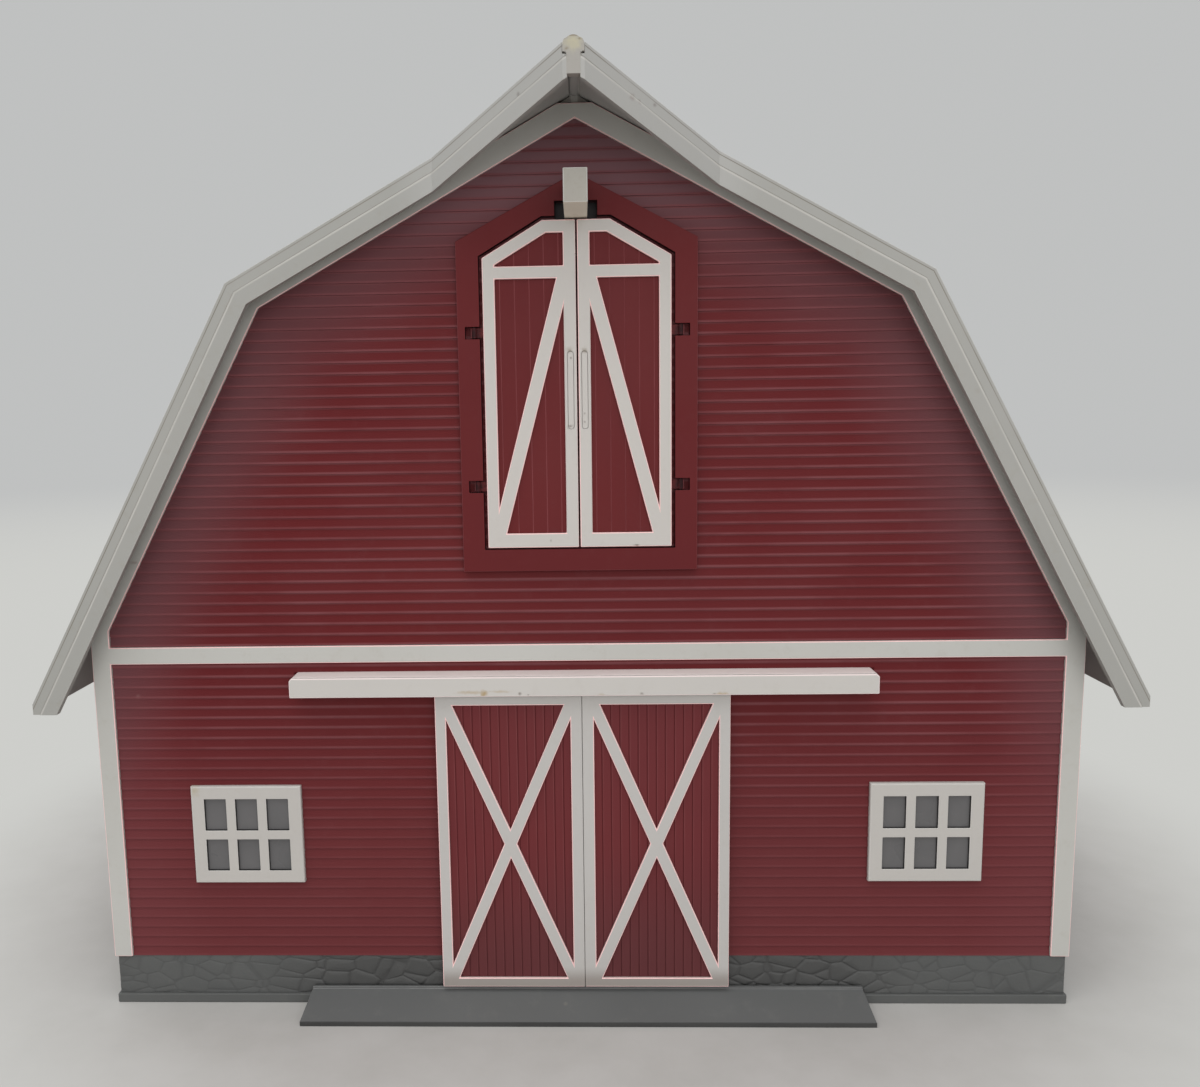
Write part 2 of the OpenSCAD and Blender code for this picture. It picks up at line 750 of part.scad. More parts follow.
// White boards of the right barn door leaf
module leaf_boards() {
  x0 = play / 2;
  foot = [x0 + stile_w, leaf_z + rail_w];
  head = [leaf_x - stile_w, leaf_top];
  difference() {
    translate([x0, leaf_z]) square([leaf_x - x0, lip_z - leaf_z]);
    translate(foot) square(head - foot);
  }
  intersection() {
    translate(foot) square(head - foot);
    union() {
      diagonal(foot, head, brace_w);
      diagonal([foot[0], head[1]], [head[0], foot[1]], brace_w);
    }
  }
}

// Boarded panel seen from above, with grooves along its front
module grooved_edge(x0, x1, front, back, pitch, cut) {
  n = floor((x1 - x0) / pitch);
  start = x0 + (x1 - x0 - n * pitch) / 2;
  notches = [for (i = [0:n]) each
    let (x = start + i * pitch)
    x - cut[0] < x0 || x + cut[0] > x1 ? [] : [
      [x - cut[0] / 2, -front], [x, cut[1] - front], [x + cut[0] / 2, -front]
    ]
  ];
  polygon(concat([[x0, -back], [x0, -front]], notches, [[x1, -front], [x1, -back]]));
}

module barn_panel() {
  x0 = play / 2;
  translate([0, 0, leaf_z]) linear_extrude(height = lip_z - leaf_z)
    grooved_edge(x0, leaf_x, panel_front, leaf_back, groove_pitch, leaf_groove);
}

// White face boards and the lip that hangs on the track's ledge
module barn_frame() {
  x0 = play / 2;
  upright(-leaf_front, -panel_front) leaf_boards();
  box(x0, leaf_x, play + cover_t - cover_d, -leaf_back, lip_z, lip_z + lip_t);
}

module right_door_panel() {
  color(red) in_barn() barn_panel();
}

module right_door_frame() {
  color(white) in_barn() barn_frame();
}

module left_door_panel() {
  color(red) in_barn() mirror([1, 0, 0]) barn_panel();
}

module left_door_frame() {
  color(white) in_barn() mirror([1, 0, 0]) barn_frame();
}

// Right loft door's outline
module loft_leaf() {
  intersection() {
    loft_pair(0);
    translate([loft_split / 2, 0]) square([far, far]);
  }
}

// White boards of the right loft door
module loft_boards() {
  in_x = loft_split / 2 + loft_stile;
  out_x = loft_x - loft_stile;
  foot_z = loft_z + loft_rail;
  foot = [out_x, foot_z];
  head = [in_x, cross_z - cross_h];
  difference() {
    loft_leaf();
    translate([in_x, foot_z]) square([out_x - in_x, head[1] - foot_z]);
    intersection() {
      loft_pair(-loft_stile);
      translate([in_x, cross_z]) square([far, far]);
    }
  }
  intersection() {
    translate([in_x, foot_z]) square([out_x - in_x, head[1] - foot_z]);
    diagonal(foot, head, loft_brace);
  }
}

// Boarded panel of the right loft door, with its hinge arms and their knuckles
module loft_panel() {
  arm_h = slot_h - 2 * play;
  difference() {
    union() {
      intersection() {
        translate([0, 0, loft_z]) linear_extrude(height = loft_top - loft_z)
          grooved_edge(loft_split / 2, loft_x, loft_panel_front, loft_back, loft_groove, loft_groove_cut);
        upright(-loft_front, 0) loft_leaf();
      }
      for (rise = hinge_rise) {
        mid = loft_z + rise;
        box(loft_x - arm_lap, hinge_x, -loft_panel_front, -loft_back, mid - arm_h / 2, mid + arm_h / 2);
        loft_axle(1, loft_knuckle_r, mid - arm_h / 2, mid + arm_h / 2);
      }
    }
    for (rise = hinge_rise)
      loft_axle(1, loft_pin_r + slack, loft_z + rise - slot_h, loft_z + rise + slot_h);
  }
}

// Face boards with the finger groove
module loft_frame() {
  grip_x = loft_split / 2 + loft_stile / 2;
  difference() {
    upright(-loft_front, -loft_panel_front) loft_boards();
    hull() for (z = [grip_z + grip_r, grip_z + grip_l - grip_r])
      translate([grip_x, -loft_front, loft_z + z]) rotate([90, 0, 0]) cylinder(r = grip_r, h = 2 * grip_d, center = true);
  }
}

module right_loft_panel() {
  color(red) in_barn() loft_panel();
}

module right_loft_frame() {
  color(white) in_barn() loft_frame();
}

module left_loft_panel() {
  color(red) in_barn() mirror([1, 0, 0]) loft_panel();
}

module left_loft_frame() {
  color(white) in_barn() mirror([1, 0, 0]) loft_frame();
}

// Band of the right roof slope between depths a and b below its top, square to the slope
module slope_band(a, b) {
  top = roof_off - a;
  low = roof_off - b;
  polygon([
    [0, apex_z(top)], kink(top), [min(eave_x, lower_x(top, eave_z)), max(eave_z, lower_at(top, eave_x))],
    [min(eave_x, lower_x(top, eave_z)), eave_z], [lower_x(low, eave_z), eave_z], kink(low), [0, apex_z(low)]
  ]);
}

// Front edge of the roof in plan, set back by s
function edge_pts(s) = [
  [0, s - hood_reach], [nose_x + s * (1 - hood_skew) / hood_tan, s - hood_reach],
  [nose_x + (hood_reach - rake_over + s * (1 - hood_skew)) / hood_tan, s - rake_over],
  [far, s - rake_over]
];

// Front rake and hood edge between depths a and b, from set-back s to s + t
module front_edge(a, b, s, t) {
  back_pts = edge_pts(s + t);
  intersection() {
    upright(-hood_reach - 2, rake_over) slope_band(a, b);
    linear_extrude(height = far) polygon(concat(edge_pts(s), [for (i = [3:-1:0]) back_pts[i]]));
  }
}

// Back rake between depths a and b, from set-back s to s + t
module back_edge(a, b, s, t) {
  upright(wall_l + rake_over - s - t, wall_l + rake_over - s) slope_band(a, b);
}

// Start and length of each knuckle of one roof half: one under the hood, the rest between the
// gables, and one behind the back gable on one half only
hood_span = (hood_reach - nose_l - play / 2) / 2;
inner_span = (wall_l - 2 * wall_t) / knuckles;
function knuckle_spans(odd) = concat(
  [[nose_l + play / 2 - hood_reach + odd * hood_span, hood_span]],
  [for (i = [odd:2:knuckles - 1]) [wall_t + i * inner_span, inner_span]],
  odd == 1 ? [[wall_l, rake_over - nose_l - play / 2]] : []
);

// One roof half on the +X side, with knuckles in the odd or even places
module roof_half(odd) {
  seams = floor((wall_l + 2 * rake_over - 4 * rake_t) / seam_pitch);
  seam_start = (wall_l - (seams - 1) * seam_pitch) / 2;
  end_l = nose_l + play;
  difference() {
    union() {
      difference() {
        union() {
          intersection() {
            upright(-hood_reach, wall_l + rake_over) slope_band(0, sheet_t);
            linear_extrude(height = far) polygon(concat(edge_pts(0), [[far, wall_l + rake_over], [0, wall_l + rake_over]]));
          }
          front_edge(0, rake_d, 0, rake_t);
          back_edge(0, rake_d, 0, rake_t);
          for (i = [0:seams - 1]) translate([0, seam_start + i * seam_pitch, 0]) intersection() {
            upright(-seam_w / 2, seam_w / 2) slope_band(-seam_h, sheet_t / 2);
            box(knuckle_r + seam_end[0], eave_x - seam_end[1], -seam_w, seam_w, eave_z + 1, far);
          }
        }
        along_ridge(knuckle_r + play, -hood_reach - 1, wall_l + rake_over + 1);
        for (y = [-hood_reach, wall_l + rake_over]) {
          box(-1, nose_x, y - end_l, y + end_l, block_foot - play, far);
          box(-1, pendant_x + play, y - end_l, y + end_l, 0, block_foot);
        }
      }
      for (span = knuckle_spans(odd)) {
        y0 = span[0] + play / 2;
        y1 = span[0] + span[1] - play / 2;
        along_ridge(knuckle_r, y0, y1);
        intersection() {
          upright(y0, y1) slope_band(web[0], web[1]);
          box(0, knuckle_r + 2 * play, y0, y1, rod_z - knuckle_r, far);
        }
      }
    }
    along_ridge(rod_r + slack, -hood_reach - 1, wall_l + rake_over + 1);
    for (cut = rake_cuts) {
      front_edge(cut[0], cut[1], -1, 1 + cut[2]);
      back_edge(cut[0], cut[1], -1, 1 + cut[2]);
    }
  }
}

module roof_right() {
  color(white) in_barn() roof_half(1);
}

module roof_left() {
  color(white) in_barn() mirror([1, 0, 0]) roof_half(0);
}

// Saddle on a gable's level apex, drawn for the front: a web with an eye for the rod
module ridge_saddle() {
  difference() {
    union() {
      along_ridge(knuckle_r, play, wall_t - play);
      box(-saddle_x, saddle_x, play, wall_t - play, apex_flat, rod_z);
    }
    along_ridge(rod_r + fit, 0, wall_t);
  }
}

// Cap on the rod's end, drawn for the front: a block with a round top, and the pendant under it
module ridge_cap(reach) {
  end = nose_l - reach;
  difference() {
    union() {
      upright(-reach, end) {
        translate([0, block_top - block_x]) circle(r = block_x);
        translate([-block_x, block_foot]) square([2 * block_x, block_h - block_x]);
      }
      box(-pendant_x, pendant_x, -reach, end, apex_z(roof_off - rake_d), block_top - block_x);
    }
    along_ridge(rod_r + fit, rod_end - reach, end + 1);
  }
}

module front_ridge_saddle() {
  color(white) in_barn() ridge_saddle();
}

module back_ridge_saddle() {
  color(white) in_barn() at_back() ridge_saddle();
}

module front_ridge_cap() {
  color(white) in_barn() ridge_cap(hood_reach);
}

module back_ridge_cap() {
  color(white) in_barn() at_back() ridge_cap(rake_over);
}

// Hinge rod of both roof halves
module ridge_rod() {
  color("silver") in_barn() along_ridge(rod_r, rod_end + 0.1 - hood_reach, wall_l + rake_over - rod_end - 0.1);
}

module front_left_window() {
  color(white) on_front(-1) window_frame();
}

module front_right_window() {
  color(white) on_front(1) window_frame();
}

module back_left_window() {
  color(white) on_back(-1) window_frame();
}

module back_right_window() {
  color(white) on_back(1) window_frame();
}

module left_window_1() {
  color(white) on_side(-1, 1) window_frame();
}

module left_window_2() {
  color(white) on_side(-1, 2) window_frame();
}

module left_window_3() {
  color(white) on_side(-1, 3) window_frame();
}

module right_window_1() {
  color(white) on_side(1, 1) window_frame();
}

module right_window_2() {
  color(white) on_side(1, 2) window_frame();
}

module right_window_3() {
  color(white) on_side(1, 3) window_frame();
}

module front_left_panes() {
  color(glass) on_front(-1) window_panes();
}

module front_right_panes() {
  color(glass) on_front(1) window_panes();
}

module back_left_panes() {
  color(glass) on_back(-1) window_panes();
}

module back_right_panes() {
  color(glass) on_back(1) window_panes();
}

module left_panes_1() {
  color(glass) on_side(-1, 1) window_panes();
}

module left_panes_2() {
  color(glass) on_side(-1, 2) window_panes();
}

module left_panes_3() {
  color(glass) on_side(-1, 3) window_panes();
}

module right_panes_1() {
  color(glass) on_side(1, 1) window_panes();
}

module right_panes_2() {
  color(glass) on_side(1, 2) window_panes();
}

module right_panes_3() {
  color(glass) on_side(1, 3) window_panes();
}

foundation();
stone_facing();
door_ramp();
front_wall();
front_trim();
back_wall();
back_trim();
left_side_wall();
right_side_wall();
left_side_trim();
right_side_trim();
loft_floor();
front_ridge_saddle();
back_ridge_saddle();
front_ridge_cap();
back_ridge_cap();
ridge_rod();
loft_surround();
loft_hinge_pins();
hoist_beam();
door_track();
left_door_panel();
left_door_frame();
right_door_panel();
right_door_frame();
left_loft_panel();
left_loft_frame();
right_loft_panel();
right_loft_frame();
roof_left();
roof_right();
front_left_window();
front_right_window();
back_left_window();
back_right_window();
left_window_1();
left_window_2();
left_window_3();
right_window_1();
right_window_2();
right_window_3();
front_left_panes();
front_right_panes();
back_left_panes();
back_right_panes();
left_panes_1();
left_panes_2();
left_panes_3();
right_panes_1();
right_panes_2();
right_panes_3();
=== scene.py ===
# A toy barn moulded in plastic: red lap siding, white boards, an off-white gambrel roof that opens
# at its ridge, sliding barn doors and hinged loft doors, on a grey foundation with field stones.
import json
import math

import bpy
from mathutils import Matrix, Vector

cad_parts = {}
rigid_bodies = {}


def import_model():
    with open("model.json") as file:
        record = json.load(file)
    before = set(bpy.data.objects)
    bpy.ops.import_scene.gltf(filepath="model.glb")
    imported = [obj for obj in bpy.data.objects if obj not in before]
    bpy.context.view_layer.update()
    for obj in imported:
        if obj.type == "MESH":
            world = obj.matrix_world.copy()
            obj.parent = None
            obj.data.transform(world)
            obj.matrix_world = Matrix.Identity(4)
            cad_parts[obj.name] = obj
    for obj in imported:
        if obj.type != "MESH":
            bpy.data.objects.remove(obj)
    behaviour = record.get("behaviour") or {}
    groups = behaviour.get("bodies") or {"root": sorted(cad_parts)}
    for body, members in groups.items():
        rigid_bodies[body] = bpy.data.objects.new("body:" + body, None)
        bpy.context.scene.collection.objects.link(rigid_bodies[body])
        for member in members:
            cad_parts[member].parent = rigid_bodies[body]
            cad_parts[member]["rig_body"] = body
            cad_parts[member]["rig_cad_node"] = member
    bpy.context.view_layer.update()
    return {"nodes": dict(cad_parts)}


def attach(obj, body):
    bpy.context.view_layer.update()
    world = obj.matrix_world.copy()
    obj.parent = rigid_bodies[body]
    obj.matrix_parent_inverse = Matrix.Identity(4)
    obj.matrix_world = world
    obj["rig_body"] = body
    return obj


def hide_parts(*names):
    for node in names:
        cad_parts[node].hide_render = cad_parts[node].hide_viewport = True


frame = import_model()
bpy.ops.object.select_all(action="DESELECT")

# The camera stands low in front of the gable, a little right of the ridge, and looks slightly
# down, as in the photograph. Its lens and shift come from a fit to the barn's front.
gable_y = -0.10425
camera_reach = 0.23812
bpy.ops.object.camera_add(location=(0.00047, gable_y - camera_reach, 0.14919))
camera = bpy.context.active_object
camera.name = "camera"
camera.rotation_euler = [math.radians(turn) for turn in (82.413, 0.938, 1.672)]
camera.data.sensor_width = 36
camera.data.lens = 30.15
camera.data.shift_x = 0.0412
camera.data.clip_start = 0.01
camera.data.clip_end = 50
bpy.context.scene.camera = camera
bpy.context.scene.view_settings.view_transform = "Standard"

# The studio is a pale paper floor under a soft overhead lamp and an even grey room, with a wide
# soft lamp in front. The paper keeps the barn's shadow, is palest behind the barn and runs into the
# room's tone further out.
room_tone = (0.525, 0.532, 0.530, 1)
pale_tone = (0.615, 0.618, 0.595, 1)
paper_tone = (0.505, 0.492, 0.472, 1)
paper_shade = (0.465, 0.452, 0.430, 1)
shadow_reach, pale_reach, room_reach = 0.14, 0.235, 2.2


def new_material(name):
    """An empty node material with its output, ready for its finish."""
    material = bpy.data.materials.new(name)
    material.use_nodes = True
    material.node_tree.nodes.clear()
    material.node_tree.nodes.new("ShaderNodeOutputMaterial")
    return material


def output_of(material):
    """The node that takes the finished surface."""
    return next(n for n in material.node_tree.nodes if n.type == "OUTPUT_MATERIAL")


def add(tree, kind, **settings):
    """A node of that kind. Settings that start with an underscore are its input sockets."""
    made = tree.nodes.new("ShaderNode" + kind)
    for key, value in settings.items():
        if key.startswith("_"):
            made.inputs[key[1:].replace("_", " ")].default_value = value
        else:
            setattr(made, key, value)
    return made


def wire(tree, *pairs):
    """Links written as (node, output, node, input)."""
    for giver, output, taker, socket in pairs:
        tree.links.new(giver.outputs[output], taker.inputs[socket])


def blend_of(tree, first=None, second=None):
    """A mix of two colours. A colour that is given stands on its own socket."""
    made = add(tree, "Mix", data_type="RGBA")
    for socket, colour in (("A", first), ("B", second)):
        if colour:
            made.inputs[socket].default_value = colour
    return made


def seen_directly(tree):
    """One for what the camera, glass and polished faces see, so the lamps and shadows are left alone."""
    path = add(tree, "LightPath")
    polished = add(tree, "Math", operation="MAXIMUM")
    glass = add(tree, "Math", operation="MAXIMUM")
    wire(tree, (path, "Is Camera Ray", polished, 0), (path, "Is Glossy Ray", polished, 1),
         (polished, 0, glass, 0), (path, "Is Transmission Ray", glass, 1))
    return glass


bpy.ops.mesh.primitive_circle_add(vertices=96, radius=12, fill_type="NGON")
floor = bpy.context.active_object
floor.name = "paper_floor"

paper = new_material("paper")
tree = paper.node_tree
place = add(tree, "TexCoord")
reach = add(tree, "VectorMath", operation="LENGTH")
fade = add(tree, "MapRange", interpolation_type="SMOOTHSTEP", _From_Min=shadow_reach, _From_Max=pale_reach)
both = add(tree, "Math", operation="MULTIPLY")
mottle = add(tree, "TexNoise", _Scale=55, _Detail=5, _Roughness=0.6)
soften = add(tree, "MapRange", _From_Min=0.35, _From_Max=0.7)
tint = blend_of(tree, paper_tone, paper_shade)
sheet = add(tree, "BsdfDiffuse")
leaving = add(tree, "MapRange", interpolation_type="SMOOTHSTEP", _From_Min=0.6, _From_Max=room_reach)
distance_tone = blend_of(tree, pale_tone, room_tone)
glow = add(tree, "Emission")
joined = add(tree, "MixShader")
wire(tree, (place, "Object", reach, 0), (reach, "Value", fade, "Value"), (fade, "Result", both, 0),
     (seen_directly(tree), 0, both, 1), (place, "Object", mottle, "Vector"),
     (mottle, "Fac", soften, "Value"), (soften, "Result", tint, "Factor"), (tint, "Result", sheet, "Color"),
     (reach, "Value", leaving, "Value"), (leaving, "Result", distance_tone, "Factor"),
     (distance_tone, "Result", glow, "Color"), (both, 0, joined, "Fac"), (sheet, 0, joined, 1),
     (glow, 0, joined, 2), (joined, 0, output_of(paper), "Surface"))
floor.data.materials.append(paper)

room = bpy.data.worlds.new("room")
bpy.context.scene.world = room
room.use_nodes = True
tree = room.node_tree
tree.nodes.clear()
sky = add(tree, "Background", _Color=(0.98, 0.99, 1, 1), _Strength=0.70)
behind = add(tree, "Background", _Color=room_tone)
shown = add(tree, "MixShader")
out = add(tree, "OutputWorld")
wire(tree, (seen_directly(tree), 0, shown, "Fac"), (sky, 0, shown, 1), (behind, 0, shown, 2),
     (shown, 0, out, "Surface"))


def soft_lamp(name, place, aim, width, height, watts):
    """A wide lamp that points from its place towards its aim."""
    bpy.ops.object.light_add(type="AREA", location=place)
    lamp = bpy.context.active_object
    lamp.name = name
    lamp.data.shape = "RECTANGLE"
    lamp.data.size = width
    lamp.data.size_y = height
    lamp.data.energy = watts
    lamp.rotation_euler = (Vector(aim) - Vector(place)).to_track_quat("-Z", "Y").to_euler()


soft_lamp("ceiling_lamp", (-0.2, -0.45, 1.25), (0, 0, 0.1), 1.3, 1.0, 7.8)
soft_lamp("front_lamp", (0.15, -1.5, 0.35), (0, -0.1, 0.12), 1.6, 1.0, 8.2)

# The foundation is one mid grey moulding with a foot flange, matt and a little uneven. Its rim is
# open at the doorway, and walls and floor tray are joined to it.


def new_group(name, inputs, outputs):
    """A shader node group with named sockets, its input node and its output node."""
    group = bpy.data.node_groups.new(name, "ShaderNodeTree")
    for label, kind, value in inputs:
        socket = group.interface.new_socket(name=label, in_out="INPUT", socket_type="NodeSocket" + kind)
        if value is not None:
            socket.default_value = value
    for label, kind in outputs:
        group.interface.new_socket(name=label, in_out="OUTPUT", socket_type="NodeSocket" + kind)
    return group, group.nodes.new("NodeGroupInput"), group.nodes.new("NodeGroupOutput")


def use(tree, group, **settings):
    """A group placed in a material. Settings name its inputs."""
    made = tree.nodes.new("ShaderNodeGroup")
    made.node_tree = group
    for key, value in settings.items():
        made.inputs[key].default_value = value
    return made


# A slow drift of tone with fine dirt in it
aged_tone, given, result = new_group(
    "aged_tone",
    [("Vector", "Vector", None), ("Colour", "Color", (0.5, 0.5, 0.5, 1)),
     ("Aged", "Color", (0.4, 0.4, 0.4, 1)), ("Dirt", "Color", (0.1, 0.09, 0.07, 1)),
     ("Scale", "Float", 14), ("Ageing", "Float", 0.5), ("Dirtiness", "Float", 0.3)],
    [("Colour", "Color")])
broad = add(aged_tone, "TexNoise", _Detail=3, _Roughness=0.55)
spread = add(aged_tone, "MapRange", _From_Min=0.32, _From_Max=0.68)
how_aged = add(aged_tone, "Math", operation="MULTIPLY")
ageing = blend_of(aged_tone)
finer = add(aged_tone, "Math", operation="MULTIPLY")
finer.inputs[1].default_value = 24
dust = add(aged_tone, "TexNoise", _Detail=6, _Roughness=0.7)
flecks = add(aged_tone, "MapRange", _From_Min=0.55, _From_Max=0.8)
how_dirty = add(aged_tone, "Math", operation="MULTIPLY")
dirtying = blend_of(aged_tone)
wire(aged_tone, (given, "Vector", broad, "Vector"), (given, "Scale", broad, "Scale"),
     (broad, "Fac", spread, "Value"), (spread, "Result", how_aged, 0), (given, "Ageing", how_aged, 1),
     (how_aged, 0, ageing, "Factor"), (given, "Colour", ageing, "A"), (given, "Aged", ageing, "B"),
     (given, "Scale", finer, 0), (given, "Vector", dust, "Vector"), (finer, 0, dust, "Scale"),
     (dust, "Fac", flecks, "Value"), (flecks, "Result", how_dirty, 0), (given, "Dirtiness", how_dirty, 1),
     (how_dirty, 0, dirtying, "Factor"), (ageing, "Result", dirtying, "A"), (given, "Dirt", dirtying, "B"),
     (dirtying, "Result", result, "Colour"))

# The satin grain of the mould, with patches worn smoother
mould_grain, given, result = new_group(
    "mould_grain",
    [("Vector", "Vector", None), ("Scale", "Float", 2600), ("Smoothest", "Float", 0.35),
     ("Roughest", "Float", 0.5)],
    [("Roughness", "Float"), ("Height", "Float")])
grain = add(mould_grain, "TexNoise", _Detail=2, _Roughness=0.5)
wear = add(mould_grain, "TexNoise", _Scale=45, _Detail=4)
gloss = add(mould_grain, "MapRange", _From_Min=0.35, _From_Max=0.65)
wire(mould_grain, (given, "Vector", grain, "Vector"), (given, "Scale", grain, "Scale"),
     (given, "Vector", wear, "Vector"), (wear, "Fac", gloss, "Value"), (given, "Smoothest", gloss, "To Min"),
     (given, "Roughest", gloss, "To Max"), (gloss, "Result", result, "Roughness"),
     (grain, "Fac", result, "Height"))


def plastic(name, colour, aged, dirt, scale=14, ageing=0.5, dirtiness=0.25, smooth=0.34, rough=0.48,
            grain_m=0.00002, specular=0.25):
    """Moulded plastic that drifts between two tones, with dirt in its grain."""
    material = new_material(name)
    tree = material.node_tree
    place = add(tree, "TexCoord")
    tone = use(tree, aged_tone, Colour=(*colour, 1), Aged=(*aged, 1), Dirt=(*dirt, 1), Scale=scale,
               Ageing=ageing, Dirtiness=dirtiness)
    skin = use(tree, mould_grain, Smoothest=smooth, Roughest=rough)
    bump = add(tree, "Bump", _Strength=0.35, _Distance=grain_m)
    body = add(tree, "BsdfPrincipled", _IOR=1.47, _Specular_IOR_Level=specular)
    wire(tree, (place, "Object", tone, "Vector"), (place, "Object", skin, "Vector"),
         (tone, "Colour", body, "Base Color"), (skin, "Roughness", body, "Roughness"),
         (skin, "Height", bump, "Height"), (bump, "Normal", body, "Normal"),
         (body, 0, output_of(material), "Surface"))
    return material


def rounded(node, name, width_mm, finish, painted_light=None):
    """A copy of a CAD node whose edges are rounded by the mould and by handling. It stands for the
    node, and its edges can take a painted highlight as another finish."""
    bpy.ops.object.select_all(action="DESELECT")
    source = frame["nodes"][node]
    source.select_set(True)
    bpy.context.view_layer.objects.active = source
    bpy.ops.object.duplicate()
    piece = bpy.context.active_object
    piece.name = name
    del piece["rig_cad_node"]
    piece.parent = None
    piece.data.materials.clear()
    piece.data.materials.append(finish)
    if painted_light:
        piece.data.materials.append(painted_light)
    bpy.ops.object.mode_set(mode="EDIT")
    bpy.ops.mesh.select_all(action="SELECT")
    bpy.ops.mesh.remove_doubles(threshold=0.000002)
    bpy.ops.mesh.dissolve_limited(angle_limit=math.radians(0.6))
    bpy.ops.object.mode_set(mode="OBJECT")
    edges = piece.modifiers.new("edges", "BEVEL")
    edges.width = width_mm / 1000
    edges.segments = 2
    edges.limit_method = "ANGLE"
    edges.angle_limit = math.radians(40)
    edges.use_clamp_overlap = False
    edges.harden_normals = True
    if painted_light:
        edges.material = 1
    bpy.ops.object.modifier_apply(modifier="edges")
    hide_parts(node)
    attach(piece, source["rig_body"])
    return piece


grey_dust = (0.15, 0.145, 0.135)
grey = plastic("grey_foundation", (0.106, 0.108, 0.105), (0.086, 0.088, 0.086), grey_dust, ageing=0.6,
               dirtiness=0.3, smooth=0.45, rough=0.6, grain_m=0.00004)
rounded("foundation", "foundation_moulding", 0.3, grey)

# The field stones are a thin facing round the foundation's rim, of the same grey plastic. They are
# soft in their joints because the mould was cut by hand, and lie flatter away from the doorway.
stone = new_material("field_stone")
tree = stone.node_tree
place = add(tree, "TexCoord")
depth = add(tree, "Attribute", attribute_name="joint_depth")
tone = use(tree, aged_tone, Colour=(0.104, 0.106, 0.103, 1), Aged=(0.084, 0.086, 0.085, 1),
           Dirt=(*grey_dust, 1), Scale=60, Ageing=0.7, Dirtiness=0.3)
skin = use(tree, mould_grain, Scale=1400, Smoothest=0.45, Roughest=0.62)
bump = add(tree, "Bump", _Strength=0.5, _Distance=0.00006)
joint = blend_of(tree, second=(0.048, 0.047, 0.048, 1))
body = add(tree, "BsdfPrincipled", _IOR=1.47, _Specular_IOR_Level=0.25)
wire(tree, (place, "Object", tone, "Vector"), (place, "Object", skin, "Vector"),
     (depth, "Fac", joint, "Factor"), (tone, "Colour", joint, "A"), (joint, "Result", body, "Base Color"),
     (skin, "Roughness", body, "Roughness"), (skin, "Height", bump, "Height"),
     (bump, "Normal", body, "Normal"), (body, 0, output_of(stone), "Surface"))


def base_of(material):
    """The socket that takes a plastic's colour."""
    return next(n for n in material.node_tree.nodes if n.type == "BSDF_PRINCIPLED").inputs["Base Color"]


def paint_over(material, mask, colour):
    """Another colour over a plastic's own, where the mask's output is one."""
    tree = material.node_tree
    base = base_of(material)
    paint = blend_of(tree, second=(*colour, 1))
    tree.links.new(base.links[0].from_socket, paint.inputs["A"])
    tree.links.new(mask, paint.inputs["Factor"])
    tree.links.new(paint.outputs["Result"], base)


def how_far(tree, source, folded):
    """The socket that says how far a point lies along an axis, or what a group measures there.
    Folded, it is the same on both sides of the barn's middle."""
    place = add(tree, "TexCoord")
    by_axis = isinstance(source, str)
    measured = add(tree, "SeparateXYZ") if by_axis else use(tree, source)
    wire(tree, (place, "Object", measured, 0))
    distance = measured.outputs[source if by_axis else 0]
    if folded:
        even = add(tree, "Math", operation="ABSOLUTE")
        tree.links.new(distance, even.inputs[0])
        distance = even.outputs[0]
    return distance


def haze(material, colour, source, start, stop, most):
    """Another colour that comes in softly between two values of an axis or of a group's measure."""
    tree = material.node_tree
    fading = add(tree, "MapRange", interpolation_type="SMOOTHSTEP", _From_Min=start, _From_Max=stop,
                 _To_Max=most)
    tree.links.new(how_far(tree, source, folded=isinstance(source, str)), fading.inputs["Value"])
    paint_over(material, fading.outputs[0], colour)


haze(stone, (0.072, 0.071, 0.069), "X", 0.088, 0.058, 0.8)

flange_top = 0.0024
sill = 0.0126
stone_size = 0.0060
stone_stretch = 1.6
stone_out = 0.00058
plain_face = 0.00054
joint_in = 0.00036
crown_out = 0.00026
joint_share, crown_share = 0.17, 0.55
bold_until, bold_fade = 0.058, 0.028
masonry = bpy.data.textures.new("masonry", "VORONOI")
masonry.distance_metric = "DISTANCE"
masonry.weight_1 = -1
masonry.weight_2 = 1
masonry.noise_scale = stone_size
masonry.noise_intensity = 1


